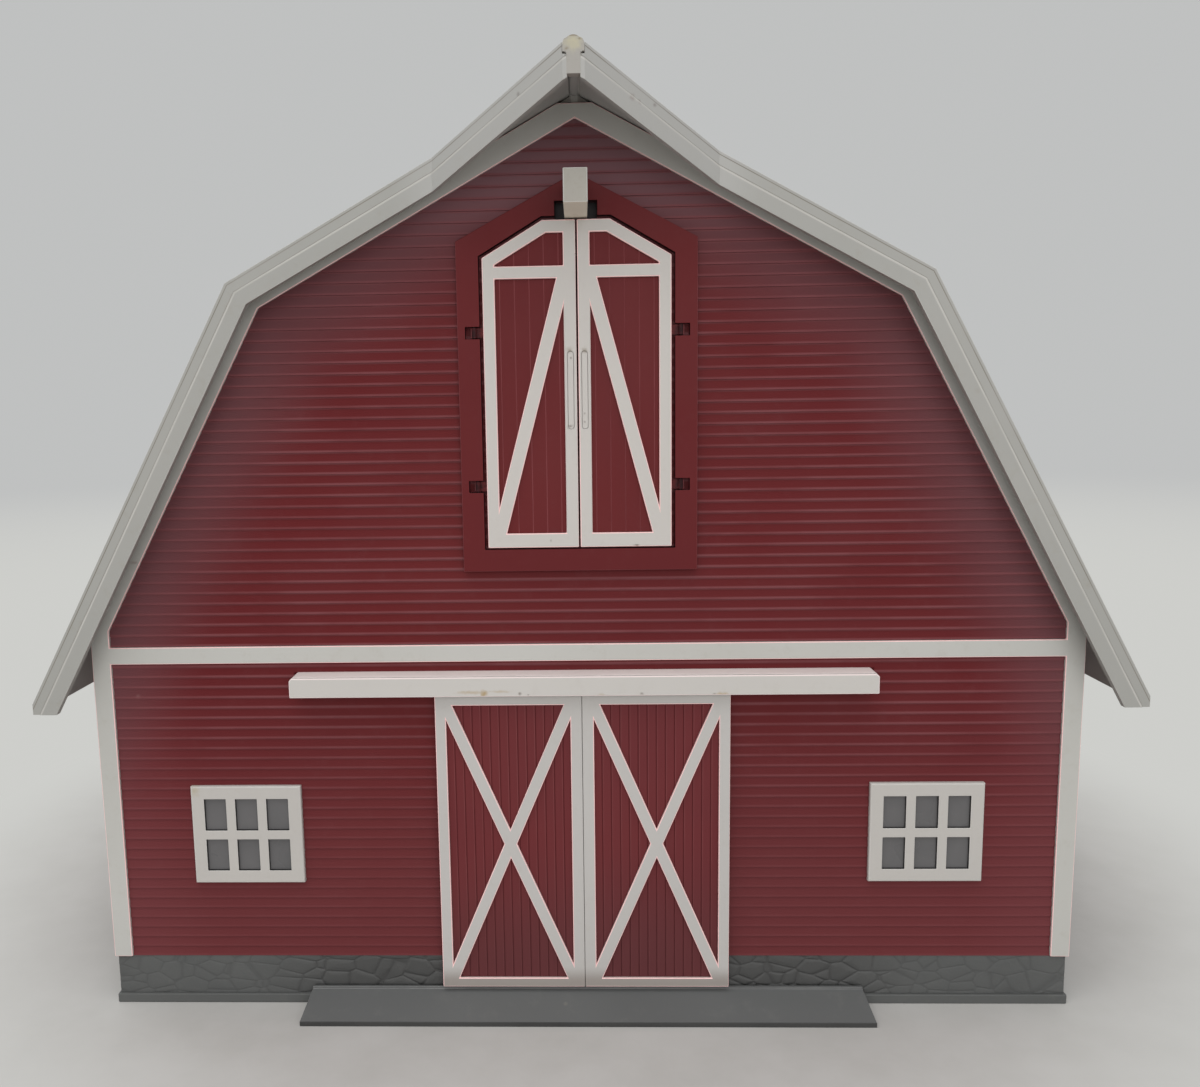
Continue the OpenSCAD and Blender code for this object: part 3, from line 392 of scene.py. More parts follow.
def stone_plate(name, length, middle, turn, step, shift):
    """A course of stones: a flat grid whose joints are pressed in, stood up against the rim."""
    height = sill - flange_top
    bpy.ops.object.select_all(action="DESELECT")
    bpy.ops.mesh.primitive_grid_add(x_subdivisions=round(length / step),
                                    y_subdivisions=round(height * stone_stretch / step),
                                    size=1, location=(0, 0, 0))
    plate = bpy.context.active_object
    plate.name = name
    bpy.ops.object.mode_set(mode="EDIT")
    bpy.ops.transform.resize(value=(length, height * stone_stretch, 1))
    bpy.ops.transform.translate(value=(shift, shift / 3, 0))
    bpy.ops.object.mode_set(mode="OBJECT")
    pressed = plate.modifiers.new("joints", "DISPLACE")
    pressed.texture = masonry
    pressed.texture_coords = "LOCAL"
    pressed.direction = "Z"
    pressed.mid_level = 0
    pressed.strength = 1
    bpy.ops.object.modifier_apply(modifier="joints")
    heights = [v.co.z for v in plate.data.vertices]
    low, high = min(heights), max(heights)
    depths = plate.data.attributes.new("joint_depth", "FLOAT", "POINT")
    for v, row in zip(plate.data.vertices, depths.data):
        full = min(1, (v.co.z - low) / (high - low) / joint_share)
        crown = min(1, (v.co.z - low) / (high - low) / crown_share)
        x = v.co.x - shift
        near_door = 1 - (abs(x + middle[0]) - bold_until) / bold_fade
        bold = min(0.7, max(0.25, near_door)) if turn == 0 else 0.4
        row.value = (1 - full) ** 1.5 * bold
        rise = joint_in * (1 - (1 - full) ** 2) + crown_out * crown
        v.co = (x, (v.co.y - shift / 3) / stone_stretch, plain_face - (plain_face - rise) * bold)
    bpy.ops.object.mode_set(mode="EDIT")
    bpy.ops.mesh.select_all(action="SELECT")
    bpy.ops.transform.rotate(value=math.radians(-90), orient_axis="X", center_override=(0, 0, 0))
    bpy.ops.transform.rotate(value=-math.radians(turn), orient_axis="Z", center_override=(0, 0, 0))
    bpy.ops.transform.translate(value=middle)
    bpy.ops.object.mode_set(mode="OBJECT")
    bpy.ops.object.shade_smooth()
    return plate


wall_length = 0.230
rim_face = 0.1188
door_half = 0.0325
fine, coarse = 0.00024, 0.0005
front_run = rim_face + stone_out - door_half
side_run = wall_length - 0.0006
mid_x = door_half + front_run / 2
mid_y = gable_y + wall_length / 2
mid_z = (sill + flange_top) / 2
front_y, back_y = gable_y + 0.0002, gable_y + wall_length - 0.0002
plates = [
    stone_plate("stones_front_left", front_run, (-mid_x, front_y, mid_z), 0, fine, 0.31),
    stone_plate("stones_front_right", front_run, (mid_x, front_y, mid_z), 0, fine, 0.77),
    stone_plate("stones_right", side_run, (rim_face, mid_y, mid_z), 90, coarse, 1.13),
    stone_plate("stones_left", side_run, (-rim_face, mid_y, mid_z), -90, coarse, 1.61),
    stone_plate("stones_back", 2 * (rim_face + stone_out), (0, back_y, mid_z), 180, coarse, 2.2),
]
bpy.ops.object.select_all(action="DESELECT")
for plate in plates:
    plate.select_set(True)
bpy.context.view_layer.objects.active = plates[0]
bpy.ops.object.join()
stones = bpy.context.active_object
stones.name = "field_stones"
backed = stones.modifiers.new("backing", "SOLIDIFY")
backed.thickness = 0.0005
backed.offset = -1
bpy.ops.object.modifier_apply(modifier="backing")
stones.data.materials.append(stone)
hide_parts("stone_facing")
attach(stones, "barn")

# The ramp is a separate grey plate that lies on the ground before the doors. Its lip at the back is
# painted lighter as a highlight, it has one pale scuff, and its front face is painted dark as shade.

# A ragged spot where the toy was knocked, stained or glued, or where painted shade darkens a part
mark, given, result = new_group(
    "mark",
    [("Vector", "Vector", None), ("Colour", "Color", (0.5, 0.5, 0.5, 1)),
     ("Stain", "Color", (0.3, 0.2, 0.1, 1)), ("Place", "Vector", None),
     ("Stretch", "Vector", (1, 1, 1)), ("Radius", "Float", 0.001), ("Strength", "Float", 0.7)],
    [("Colour", "Color")])
away = add(mark, "VectorMath", operation="SUBTRACT")
squeeze = add(mark, "VectorMath", operation="DIVIDE")
ragged = add(mark, "TexNoise", _Scale=900, _Detail=4)
centre = add(mark, "VectorMath", operation="SUBTRACT")
centre.inputs[1].default_value = (0.5, 0.5, 0.5)
raggedness = add(mark, "Math", operation="MULTIPLY")
raggedness.inputs[1].default_value = 1.2
fray = add(mark, "VectorMath", operation="SCALE")
frayed = add(mark, "VectorMath", operation="ADD")
far_off = add(mark, "VectorMath", operation="LENGTH")
inside = add(mark, "MapRange", interpolation_type="SMOOTHSTEP", _From_Max=0)
amount = add(mark, "Math", operation="MULTIPLY")
spot_blend = blend_of(mark)
wire(mark, (given, "Vector", away, 0), (given, "Place", away, 1), (away, 0, squeeze, 0),
     (given, "Stretch", squeeze, 1), (given, "Vector", ragged, "Vector"), (ragged, "Color", centre, 0),
     (centre, 0, fray, 0), (given, "Radius", raggedness, 0), (raggedness, 0, fray, "Scale"),
     (squeeze, 0, frayed, 0), (fray, 0, frayed, 1), (frayed, 0, far_off, 0),
     (far_off, "Value", inside, "Value"), (given, "Radius", inside, "From Min"),
     (inside, "Result", amount, 0), (given, "Strength", amount, 1), (amount, 0, spot_blend, "Factor"),
     (given, "Colour", spot_blend, "A"), (given, "Stain", spot_blend, "B"),
     (spot_blend, "Result", result, "Colour"))


def stain_and_shade_spots(material, *spots):
    """Stains, and spots of painted shade, on a plastic, each written as (place, stretch, radius, colour,
    strength).
    """
    tree = material.node_tree
    place = add(tree, "TexCoord")
    base = base_of(material)
    for spot, stretch, radius, colour, strength in spots:
        blot = use(tree, mark, Place=spot, Stretch=stretch, Radius=radius, Stain=(*colour, 1),
                   Strength=strength)
        wire(tree, (place, "Object", blot, "Vector"))
        tree.links.new(base.links[0].from_socket, blot.inputs["Colour"])
        tree.links.new(blot.outputs["Colour"], base)


def refinish(piece, finish, chosen):
    """Another finish on the faces that are chosen by their middle and normal."""
    index = finish if isinstance(finish, int) else len(piece.data.materials)
    if index == len(piece.data.materials):
        piece.data.materials.append(finish)
    for face in piece.data.polygons:
        if chosen(face.center, face.normal):
            face.material_index = index


ramp_front_y = gable_y - 0.0106
ramp_grey = plastic("grey_ramp", (0.120, 0.122, 0.120), (0.098, 0.100, 0.099), (0.19, 0.185, 0.175), scale=9,
                    ageing=0.7, dirtiness=0.25, smooth=0.42, rough=0.58, grain_m=0.00004)
stain_and_shade_spots(ramp_grey, ((-0.0049, gable_y - 0.006, 0.003), (1, 1, 1), 0.0009, (0.20, 0.19, 0.17), 0.5))
# Painted highlight on the ramp's rounded edges, and painted shade on its front face.
ramp_edge = plastic("grey_ramp_edge", (0.19, 0.19, 0.185), (0.11, 0.11, 0.11), (0.05, 0.05, 0.05), scale=50,
                    ageing=0.9, dirtiness=0.2, smooth=0.45, rough=0.6)
ramp_front_shade = plastic("grey_ramp_front_shade", (0.060, 0.060, 0.058), (0.045, 0.045, 0.044), (0.10, 0.095, 0.09),
                     scale=50, ageing=0.9, dirtiness=0.3, smooth=0.45, rough=0.6)
ramp = rounded("door_ramp", "door_ramp_moulding", 0.15, ramp_grey, painted_light=ramp_edge)
refinish(ramp, 0, lambda middle, normal: middle.y < ramp_front_y)
refinish(ramp, ramp_front_shade, lambda middle, normal: middle.y < ramp_front_y and normal.y < -0.5)

# The walls are dark red mouldings with lap siding, glued at their corners. The lower edge of each
# board is painted lighter as a highlight, and the red is painted greyer by the foundation, the corners
# and the roof as reflected light from the floor and the roof's underside.
lap = 0.0026
red_dirt = (0.135, 0.034, 0.036)
lap_highlight_red = (0.190, 0.060, 0.066)
upper_slope, lower_slope = math.radians(28.65), math.radians(61.76)
ridge_top, bend_x, bend_top = 0.221785, 0.079124, 0.178554

# How deep a point lies under the roof's two slopes, square to them
under_roof, given, result = new_group("under_roof", [("Vector", "Vector", None)], [("Depth", "Float")])
mirrored = add(under_roof, "VectorMath", operation="ABSOLUTE")
nearer = add(under_roof, "Math", operation="MINIMUM")
wire(under_roof, (given, "Vector", mirrored, 0), (nearer, 0, result, "Depth"))
for socket, start, slope in ((0, (0, 0, ridge_top), upper_slope), (1, (bend_x, 0, bend_top), lower_slope)):
    from_start = add(under_roof, "VectorMath", operation="SUBTRACT")
    from_start.inputs[1].default_value = start
    below = add(under_roof, "VectorMath", operation="DOT_PRODUCT")
    below.inputs[1].default_value = (-math.sin(slope), 0, -math.cos(slope))
    wire(under_roof, (mirrored, 0, from_start, 0), (from_start, 0, below, 0),
         (below, "Value", nearer, socket))

# Soft lines at even places
even_lines, given, result = new_group(
    "even_lines",
    [("Along", "Float", 0), ("Start", "Float", 0), ("Pitch", "Float", 0.0026), ("Width", "Float", 0.1)],
    [("Mask", "Float")])
shift = add(even_lines, "Math", operation="SUBTRACT")
count = add(even_lines, "Math", operation="DIVIDE")
part = add(even_lines, "Math", operation="FRACT")
near = add(even_lines, "Math", operation="DIVIDE", use_clamp=True)
peak = add(even_lines, "Math", operation="PINGPONG")
peak.inputs[1].default_value = 0.5
edge = add(even_lines, "MapRange", interpolation_type="SMOOTHSTEP", _From_Min=0, _From_Max=0.35)
wire(even_lines, (given, "Along", shift, 0), (given, "Start", shift, 1), (shift, 0, count, 0),
     (given, "Pitch", count, 1), (count, 0, part, 0), (part, 0, near, 0), (given, "Width", near, 1),
     (near, 0, peak, 0), (peak, 0, edge, "Value"), (edge, "Result", result, "Mask"))


def paint_light_lines(material, source, start, pitch, width, colour, weakest, strongest, lowest=None, highest=None):
    """Soft, patchy lines of painted highlight or painted shade, the same on both sides of the barn's
    middle. Between two heights they grow from faint to full."""
    tree = material.node_tree
    place = add(tree, "TexCoord")
    drawn = use(tree, even_lines, Start=start, Pitch=pitch, Width=width)
    painted_light = add(tree, "TexNoise", _Scale=60, _Detail=3)
    patchy = add(tree, "MapRange", _From_Min=0.3, _From_Max=0.6, _To_Min=weakest, _To_Max=strongest)
    share = add(tree, "Math", operation="MULTIPLY")
    tree.links.new(how_far(tree, source, folded=True), drawn.inputs["Along"])
    wire(tree, (drawn, "Mask", share, 0), (place, "Object", painted_light, "Vector"), (painted_light, "Fac", patchy, "Value"),
         (patchy, "Result", share, 1))
    if highest:
        height = add(tree, "MapRange", interpolation_type="SMOOTHSTEP", _From_Min=lowest, _From_Max=highest,
                     _To_Min=0.3)
        faded = add(tree, "Math", operation="MULTIPLY")
        tree.links.new(how_far(tree, "Z", folded=False), height.inputs["Value"])
        wire(tree, (share, 0, faded, 0), (height, "Result", faded, 1))
        share = faded
    paint_over(material, share.outputs[0], colour)


def finish_node(node, material):
    """A CAD node that keeps its shape gets this material."""
    source = frame["nodes"][node]
    source.data.materials.clear()
    source.data.materials.append(material)


wall_red = plastic("barn_red_siding", (0.120, 0.0132, 0.0146), (0.104, 0.0125, 0.0150), red_dirt, scale=9,
                   ageing=0.8, dirtiness=0.3, smooth=0.42, rough=0.56, grain_m=0.00003, specular=0.1)
stain_and_shade_spots(wall_red, ((-0.1094, gable_y - 0.0004, 0.0806), (1, 1, 1), 0.0009, (0.30, 0.18, 0.17), 0.6))
# Painted reflection: the red turns greyer near the foot and at the corners, and greyer and lighter under the
# roof.
haze(wall_red, (0.150, 0.048, 0.052), "Z", 0.088, 0.020, 0.42)
haze(wall_red, (0.170, 0.050, 0.056), "X", 0.090, 0.116, 0.30)
haze(wall_red, (0.132, 0.056, 0.063), under_roof, 0.034, 0.005, 0.8)
haze(wall_red, (0.205, 0.110, 0.125), "Z", 0.184, 0.206, 0.75)
# Painted highlight along each lap's lower edge, which also lifts the shade just under it; fainter towards the
# foot.
paint_light_lines(wall_red, "Z", sill - 0.20 * lap, lap, 0.46, lap_highlight_red, 0.35, 0.8, lowest=0.035, highest=0.085)
for node in ("front_wall", "back_wall", "left_side_wall", "right_side_wall"):
    finish_node(node, wall_red)

# The white boards are thin mouldings set into the siding at the corners, under the roof and across
# the gables. Their rounded edges are painted lighter as a highlight and take a reddish tinge from the
# walls beside them.
white_dirt = (0.38, 0.34, 0.28)
board_edge = plastic("board_white_edge", (0.95, 0.64, 0.62), (0.84, 0.56, 0.54), (0.45, 0.26, 0.24), scale=70,
                     ageing=0.8, dirtiness=0.2, smooth=0.32, rough=0.46)
post_white = plastic("corner_white", (0.515, 0.507, 0.478), (0.46, 0.452, 0.42), (0.36, 0.33, 0.27), scale=12,
                     ageing=0.7, dirtiness=0.3)
stain_and_shade_spots(post_white, ((-0.1078, gable_y - 0.001, 0.1141), (1.4, 1, 0.6), 0.0012, (0.30, 0.22, 0.19), 0.6))
for node in ("front_trim", "back_trim", "left_side_trim", "right_side_trim"):
    rounded(node, node + "_boards", 0.2, post_white, painted_light=board_edge)

# The loft floor is a loose plate of the foundation's grey plastic. It lies on cleats along the
# walls, behind the loft doors.
finish_node("loft_floor", grey)

# The roof is two off-white halves with moulded seams and stepped rake boards, aged warm and uneven.
# A line of painted shade runs by the boards' outer edge and at their step, with a painted highlight
# on the step's lip and on the rounded edges. The hood is painted lighter as a highlight, and has a
# few rust specks.
roof_dirt = (0.28, 0.25, 0.19)
hood_y = gable_y - 0.0233
roof_white = plastic("roof_off_white", (0.365, 0.357, 0.335), (0.330, 0.327, 0.305), roof_dirt, scale=11,
                     ageing=0.9, dirtiness=0.35, smooth=0.36, rough=0.5)
stain_and_shade_spots(roof_white,
      ((0.0120, hood_y, 0.2119), (1, 1, 0.8), 0.0014, (0.12, 0.05, 0.02), 1),
      ((0.0135, hood_y + 0.0011, 0.2112), (1, 1, 1), 0.0008, (0.09, 0.04, 0.02), 1),
      ((0.0167, hood_y + 0.0038, 0.2113), (1, 1, 1), 0.0007, (0.09, 0.06, 0.04), 1),
      ((-0.0114, hood_y - 0.0001, 0.2130), (1, 1, 1), 0.0007, (0.09, 0.07, 0.05), 1))
# Painted highlight: the hood is lighter than the rest of the roof.
haze(roof_white, (0.435, 0.430, 0.418), "X", 0.042, 0.030, 0.5)
once = 1
# Painted shade lines by the boards' outer edge and at their step, and a painted highlight on the step's lip.
paint_light_lines(roof_white, under_roof, 0.00050, once, 0.00030, (0.15, 0.13, 0.10), 0.35, 0.8)
paint_light_lines(roof_white, under_roof, 0.00250, once, 0.00034, (0.17, 0.155, 0.13), 0.3, 0.7)
paint_light_lines(roof_white, under_roof, 0.00284, once, 0.00040, (0.52, 0.50, 0.47), 0.4, 0.8)
# Painted highlight on the roof's rounded edges.
roof_edge = plastic("roof_edge", (0.50, 0.49, 0.46), (0.36, 0.355, 0.33), roof_dirt, scale=50, ageing=0.9,
                    dirtiness=0.3, smooth=0.36, rough=0.5)
for side in ("left", "right"):
    rounded("roof_" + side, "roof_half_" + side, 0.12, roof_white, painted_light=roof_edge)

# A drawn steel rod along the ridge carries both halves. It sits in an eye over each gable, and a
# cap is pushed on each end. The front cap shows as a rounded block, yellowed in its middle, with a
# narrow pendant between the boards.
steel = new_material("drawn_steel")
tree = steel.node_tree
place = add(tree, "TexCoord")
drawn = add(tree, "Mapping", _Scale=(1, 0.02, 1))
streaks = add(tree, "TexNoise", _Scale=3000, _Detail=2)
shine = add(tree, "MapRange", _To_Min=0.22, _To_Max=0.42)
body = add(tree, "BsdfPrincipled", _Base_Color=(0.42, 0.41, 0.40, 1), _Metallic=1)
wire(tree, (place, "Object", drawn, "Vector"), (drawn, "Vector", streaks, "Vector"),
     (streaks, "Fac", shine, "Value"), (shine, "Result", body, "Roughness"),
     (body, 0, output_of(steel), "Surface"))
finish_node("ridge_rod", steel)

cap_dirt = (0.24, 0.20, 0.15)
cap_y = gable_y - 0.0305
cap_white = plastic("cap_off_white", (0.375, 0.355, 0.325), (0.34, 0.325, 0.30),
                    cap_dirt, scale=60, ageing=0.8, dirtiness=0.3)
stain_and_shade_spots(cap_white,
      ((0, cap_y, 0.2203), (1.1, 9, 0.9), 0.0026, (0.46, 0.425, 0.31), 1.0),
      ((0.0012, cap_y, 0.2209), (1, 3, 0.8), 0.0005, (0.2, 0.16, 0.1), 0.7),
      ((-0.0014, cap_y, 0.2192), (1, 3, 0.8), 0.0006, (0.22, 0.18, 0.12), 0.7))
haze(cap_white, (0.19, 0.15, 0.10), "Z", 0.22130, 0.22165, 0.85)
# The saddles are painted lighter than the caps, as light on pieces that sit in shade under the ridge.
saddle_lightened = plastic("saddle_painted_light", (0.52, 0.51, 0.48), (0.47, 0.46, 0.43),
                       cap_dirt, scale=60, ageing=0.8, dirtiness=0.3)
for node in ("front_ridge_saddle", "back_ridge_saddle"):
    rounded(node, node + "_moulding", 0.15, saddle_lightened)


def close_up(piece, nearest, farthest, lowest, highest, step):
    """The part of a piece between these distances from the barn's middle and these heights is moved
    outwards on both sides, so that it closes up to its neighbour."""
    for side in (-1, 1):
        bpy.ops.object.select_all(action="DESELECT")
        piece.select_set(True)
        bpy.context.view_layer.objects.active = piece
        bpy.ops.object.mode_set(mode="EDIT")
        bpy.ops.mesh.select_all(action="DESELECT")
        bpy.ops.object.mode_set(mode="OBJECT")
        for v in piece.data.vertices:
            v.select = nearest <= side * v.co.x <= farthest and lowest <= v.co.z <= highest
        bpy.ops.object.mode_set(mode="EDIT")
        bpy.ops.transform.translate(value=(side * step, 0, 0))
        bpy.ops.object.mode_set(mode="OBJECT")


block_foot = 0.2186
for end in ("front", "back"):
    cap = rounded(end + "_ridge_cap", end + "_ridge_cap_moulding", 0.06, cap_white)
    close_up(cap, 0.0007, 0.00115, 0, block_foot + 0.0001, 0.0004)
    close_up(cap, 0.0013, 0.0022, block_foot - 0.0002, 1, 0.00028)

# A web of the cap's plastic fills the corner between each gable's level top and the roof, on both
# sides of the eye. It is moulded with the gable's eye and tapers upwards.


def block(name, size):
    """A block of that size about the origin, left in edit mode with all of it selected."""
    bpy.ops.object.select_all(action="DESELECT")
    bpy.ops.mesh.primitive_cube_add(size=1, location=(0, 0, 0))
    piece = bpy.context.active_object
    piece.name = name
    bpy.ops.object.mode_set(mode="EDIT")
    bpy.ops.transform.resize(value=size)
    return piece


web_in = 0.0011
web_taper = 0.1
front_web = block("front_ridge_web", (0.0076, 0.0015, 0.0021))
bpy.ops.mesh.select_all(action="DESELECT")
bpy.ops.object.mode_set(mode="OBJECT")
for v in front_web.data.vertices:
    v.select = v.co.z > 0
bpy.ops.object.mode_set(mode="EDIT")
bpy.ops.transform.resize(value=(web_taper, 1, 1))
bpy.ops.mesh.select_all(action="SELECT")
bpy.ops.transform.translate(value=(0, gable_y + web_in, block_foot))
bpy.ops.object.mode_set(mode="OBJECT")
front_web.data.materials.append(cap_white)
bpy.ops.object.duplicate()
back_web = bpy.context.active_object
back_web.name = "back_ridge_web"
bpy.ops.object.mode_set(mode="EDIT")
bpy.ops.mesh.select_all(action="SELECT")
bpy.ops.transform.translate(value=(0, wall_length - 2 * web_in, 0))
bpy.ops.object.mode_set(mode="OBJECT")
for web in (front_web, back_web):
    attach(web, "barn")

# The surround of the loft doors is a raised red board with a pointed head, glued to the gable. Its
# rounded edges are painted lighter as a highlight outside the recess. The recess and hinge slots are
# painted near black as shade, and the four pins in the slots take the same painted shade.
recess_half, recess_foot = 0.0262, 0.1150
surround_red = plastic("surround_red", (0.124, 0.0165, 0.0180), (0.108, 0.0160, 0.0185), red_dirt, scale=16,
                       ageing=0.7, smooth=0.4, rough=0.54, specular=0.1)
red_edge = plastic("red_edge", (0.19, 0.050, 0.054), (0.13, 0.030, 0.033), red_dirt, scale=60, ageing=0.8,
                   dirtiness=0.3, specular=0.1)
gap_shade_tone = (0.020, 0.008, 0.009)
gap_shade = plastic("gap_shade", gap_shade_tone, (0.016, 0.007, 0.008), (0.03, 0.02, 0.02), specular=0.1)


def in_recess(middle):
    """Whether a face of the surround lies in its recess."""
    return abs(middle.x) < recess_half and middle.z > recess_foot


surround = rounded("loft_surround", "loft_surround_board", 0.12, surround_red, painted_light=red_edge)
refinish(surround, 0, lambda middle, normal: in_recess(middle))
refinish(surround, gap_shade, lambda middle, normal: in_recess(middle) and abs(normal.y) < 0.5)
finish_node("loft_hinge_pins", gap_shade)

# The hoist beam is a square off-white bar that runs out through the surround's head over the doors.
# Its edges are painted lighter as a highlight, and its underside is painted pale cream as light,
# which lifts it out of its shade.
beam_white = plastic("beam_white", (0.375, 0.355, 0.315), (0.335, 0.315, 0.280), (0.27, 0.22, 0.16), scale=40,
                     ageing=0.7, dirtiness=0.3)
plain_edge = plastic("board_plain_edge", (0.58, 0.56, 0.53), (0.50, 0.48, 0.45), (0.36, 0.32, 0.27), scale=70,
                     ageing=0.8, smooth=0.32, rough=0.46)
beam_underside_light = plastic("beam_underside_painted_light", (0.80, 0.75, 0.63), (0.70, 0.65, 0.54), (0.40, 0.33, 0.22), scale=60,
                    dirtiness=0.3)
beam = rounded("hoist_beam", "hoist_beam_moulding", 0.2, beam_white, painted_light=plain_edge)
refinish(beam, beam_underside_light, lambda middle, normal: normal.z < -0.9)

# A socket is set into the wall behind the surround, painted very dark as the shade beside the beam.
# It holds the beam in the opening's head and shows on both sides of it.
socket = block("hoist_beam_socket", (0.0146, 0.0010, 0.0080))
bpy.ops.transform.translate(value=(0, gable_y + 0.0013, 0.1936))
bpy.ops.mesh.select_all(action="SELECT")
bpy.ops.mesh.bevel(offset=0.00015, segments=2)
bpy.ops.object.mode_set(mode="OBJECT")
socket_painted_shade = plastic("socket_painted_shade", (0.034, 0.030, 0.031), (0.026, 0.023, 0.024), (0.06, 0.055, 0.05),
                      scale=60, specular=0.1)
socket.data.materials.append(socket_painted_shade)
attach(socket, "barn")

# The track cover is a white channel over the sliding doors. Its top and rounded edges are painted a
# lighter pinkish white as a highlight. Its lower edge has yellow glue marks and a few dark specks.
glue = (0.36, 0.24, 0.09)
speck = (0.10, 0.07, 0.05)
cover_y = gable_y - 0.0056
bevel_foot = 0.086
track_white = plastic("track_white", (0.560, 0.535, 0.505), (0.520, 0.497, 0.468), white_dirt, scale=12,
                      ageing=0.7, dirtiness=0.15)
stain_and_shade_spots(track_white,
      ((-0.0233, cover_y, 0.0822), (1, 2, 1), 0.0013, glue, 0.8),
      ((-0.0265, cover_y, 0.0825), (3, 2, 0.35), 0.0018, glue, 0.45),
      ((-0.0195, cover_y, 0.0827), (2.4, 2, 0.3), 0.0016, glue, 0.4),
      ((-0.0147, cover_y, 0.0821), (1, 2, 1), 0.0006, speck, 0.7),
      ((-0.0128, cover_y, 0.0819), (1, 2, 1), 0.0004, speck, 0.5),
      ((0.0143, cover_y, 0.0819), (1, 2, 0.7), 0.0007, speck, 0.6),
      ((0.0335, cover_y, 0.0817), (2, 2, 0.6), 0.0012, glue, 0.6),
      ((0.0315, cover_y, 0.0818), (1, 2, 0.6), 0.0006, speck, 0.5),
      ((0.0046, cover_y, 0.0816), (1.3, 2, 0.8), 0.0009, glue, 0.35))
# Painted highlight on the cover's rounded edges and top face.
cover_edge = plastic("cover_edge", (0.80, 0.69, 0.67), (0.72, 0.62, 0.60), white_dirt, scale=60,
                     dirtiness=0.15)
cover_top_highlight = plastic("cover_top_highlight_white", (0.78, 0.69, 0.665), (0.70, 0.62, 0.60), white_dirt, scale=30,
                    dirtiness=0.15)
cover = rounded("door_track", "door_track_cover", 0.25, track_white, painted_light=cover_edge)
refinish(cover, cover_top_highlight, lambda middle, normal: normal.z > 0.9 and middle.z > bevel_foot)

# The sliding barn doors are red grooved panels under white boards with crossed braces. They hang by
# a lip inside the track cover. The boards are painted darker at the foot as shade near the ground, and
# the red is darker there. The grooves are painted lighter, to soften their shade.
meeting = 0.0005
door_red = plastic("door_red", (0.150, 0.0290, 0.0315), (0.125, 0.0270, 0.0310),
                   red_dirt, scale=18, ageing=0.8, dirtiness=0.3, smooth=0.42, rough=0.56, grain_m=0.00003,
                   specular=0.1)
# Painted light: the grooves are lightened, to soften their shade.
paint_light_lines(door_red, "X", 0.0004, 0.0022, 0.16, (0.20, 0.060, 0.062), 0.2, 0.6)
haze(door_red, (0.100, 0.036, 0.038), "Z", 0.045, 0.010, 0.6)
door_white = plastic("door_white", (0.505, 0.485, 0.465), (0.465, 0.447, 0.425),
                     white_dirt, scale=18, ageing=0.7, dirtiness=0.2)
# Painted shade: the boards darken towards the foot.
haze(door_white, (0.30, 0.265, 0.24), "Z", 0.0115, 0.0070, 0.9)
for side in ("left", "right"):
    finish_node(side + "_door_panel", door_red)
    boards = rounded(side + "_door_frame", side + "_door_boards", 0.22, door_white,
                     painted_light=board_edge)
    refinish(boards, 0, lambda middle, normal: abs(middle.x) < meeting)
    close_up(boards, 0, 0.0004, 0, 1, -0.00011)

# The loft doors are built the same way, with one diagonal brace each, and hang on red hinge arms.
# Their finger grooves are nearly flush, with brown dimples at the top and specks at the foot.
face_y = gable_y - 0.0022
groove_y = face_y + 0.0003
groove_low, groove_high = 0.1440, 0.1632
dimple = (0.30, 0.26, 0.21)
loft_white = plastic("loft_white", (0.545, 0.515, 0.485), (0.51, 0.48, 0.45),
                     white_dirt, scale=18, ageing=0.6, dirtiness=0.2)
stain_and_shade_spots(loft_white,
      ((-0.0018, face_y, 0.1628), (1, 2, 1), 0.0011, dimple, 0.8),
      ((0.0016, face_y, 0.1627), (1, 2, 1), 0.0010, dimple, 0.8),
      ((-0.0015, face_y, 0.1609), (0.8, 2, 1), 0.0005, speck, 0.7),
      ((-0.0019, face_y, 0.1454), (1.3, 2, 0.6), 0.0008, speck, 0.6),
      ((0.0015, face_y, 0.1482), (1, 2, 1), 0.0004, speck, 0.5),
      ((0.0015, face_y, 0.1462), (1, 2, 1), 0.0004, speck, 0.5),
      ((0.0133, face_y, 0.1171), (1.6, 2, 0.6), 0.0007, speck, 0.9),
      ((-0.0068, face_y, 0.1184), (1, 2, 1), 0.0004, speck, 0.4))
loft_red = plastic("loft_red", (0.132, 0.0200, 0.0215), (0.114, 0.0190, 0.0215),
                   red_dirt, scale=18, ageing=0.8, dirtiness=0.3, smooth=0.42, rough=0.56, grain_m=0.00003,
                   specular=0.1)
# The hinge arms are painted near black where they sit in the slots, as shade.
stain_and_shade_spots(loft_red, *(((x, gable_y - 0.001, height), (1, 3, 1), 0.0036, gap_shade_tone, 1)
                  for x in (-0.0242, 0.0242) for height in (0.1314, 0.1670)))
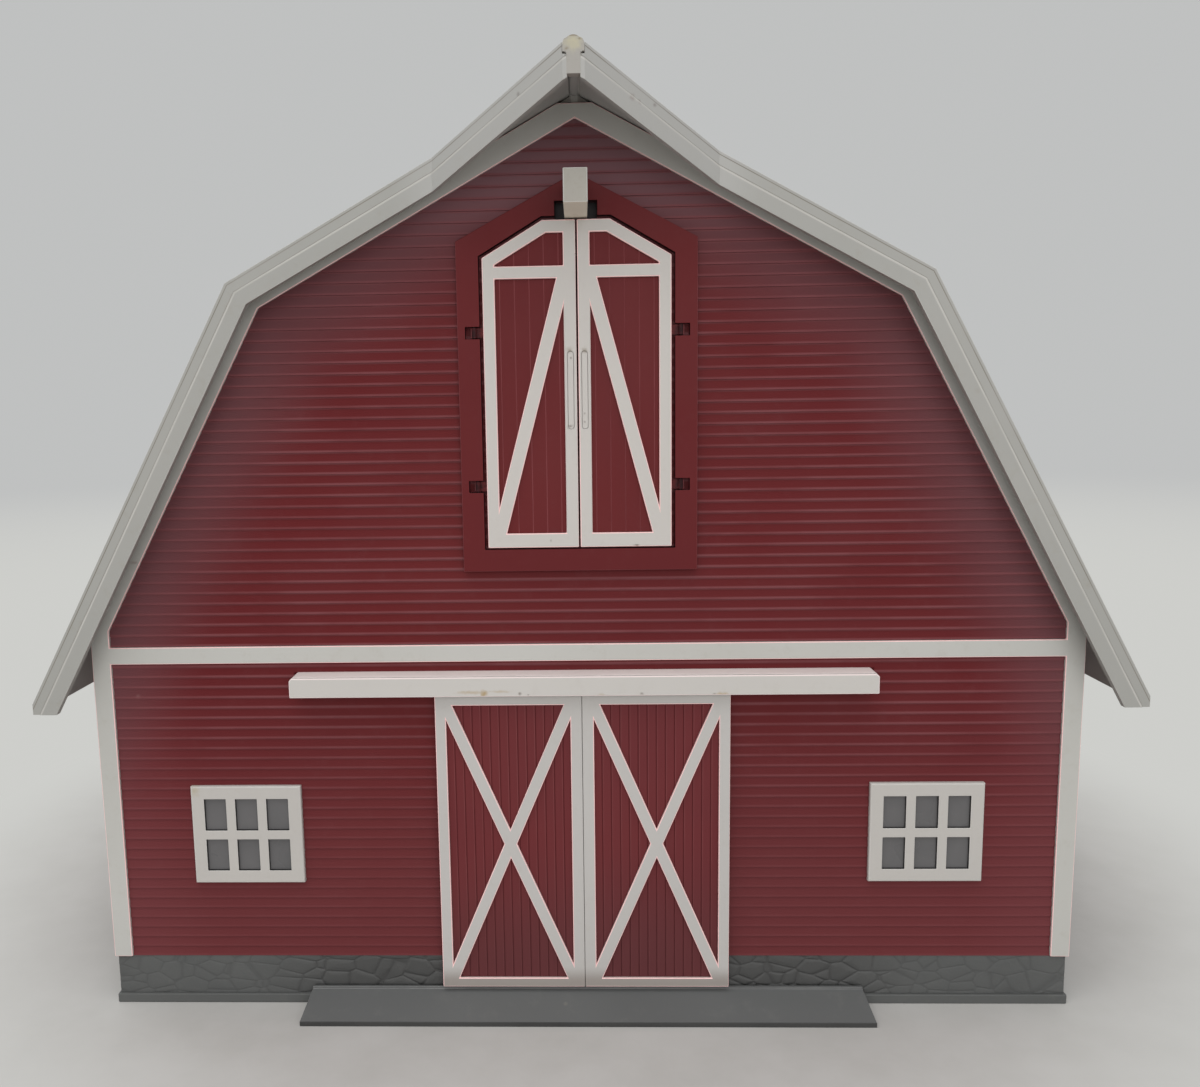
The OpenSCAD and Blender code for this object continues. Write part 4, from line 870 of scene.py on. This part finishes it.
# The panel's grooves are painted lighter, to soften their shade.
paint_light_lines(loft_red, "X", 0.00060, 0.0034, 0.09, (0.27, 0.080, 0.085), 0.5, 0.95)
for side in ("left", "right"):
    finish_node(side + "_loft_panel", loft_red)
    boards = rounded(side + "_loft_frame", side + "_loft_boards", 0.22, loft_white,
                     painted_light=board_edge)
    refinish(boards, 0, lambda middle, normal: 0.0004 < abs(middle.x) < 0.0030
             and groove_low < middle.z < groove_high and middle.y < face_y + 0.0007)
    for v in boards.data.vertices:
        if 0.0006 < abs(v.co.x) < 0.0028 and groove_low < v.co.z < groove_high and v.co.y > groove_y:
            v.co.y = face_y + 0.00004

# The windows are white frames pressed into the walls, with a sheet of smoky plastic behind the bars.
# Their reveals are painted near black as shade, and the frames' rounded edges are painted lighter as a
# highlight.
rim = 0.001
window_white = plastic("window_white", (0.500, 0.475, 0.445), (0.46, 0.44, 0.415), white_dirt, scale=24,
                       ageing=0.6, dirtiness=0.2)
stain_and_shade_spots(window_white, ((-0.0965, gable_y - 0.0015, 0.0568), (1, 2, 1), 0.0022, (0.40, 0.34, 0.20), 0.5))
reveal_shade = plastic("window_reveal_shade", (0.030, 0.029, 0.029), (0.022, 0.021, 0.021), (0.06, 0.055, 0.05),
                 specular=0.1)
pane = plastic("smoky_pane", (0.138, 0.133, 0.134), (0.114, 0.111, 0.112), (0.16, 0.155, 0.15), scale=70,
               ageing=0.9, dirtiness=0.3, smooth=0.2, rough=0.34, grain_m=0.000005)
openings = [(end + "_" + side + "_window", end + "_" + side + "_panes")
            for end in ("front", "back") for side in ("left", "right")]
openings += [("%s_window_%d" % (side, number), "%s_panes_%d" % (side, number))
             for side in ("left", "right") for number in (1, 2, 3)]
for window, panes in openings:
    opening = rounded(window, window + "_frame", 0.1, window_white, painted_light=plain_edge)
    corners = [v.co for v in opening.data.vertices]
    low, top = min(c.z for c in corners), max(c.z for c in corners)
    across = "x" if window.startswith(("front", "back")) else "y"
    start, stop = (pick(getattr(c, across) for c in corners) for pick in (min, max))

    def in_reveal(middle, normal):
        inside = start + rim < getattr(middle, across) < stop - rim and low + rim < middle.z < top - rim
        return inside and max(abs(normal.z), abs(getattr(normal, across))) > 0.9

    refinish(opening, reveal_shade, in_reveal)
    finish_node(panes, pane)
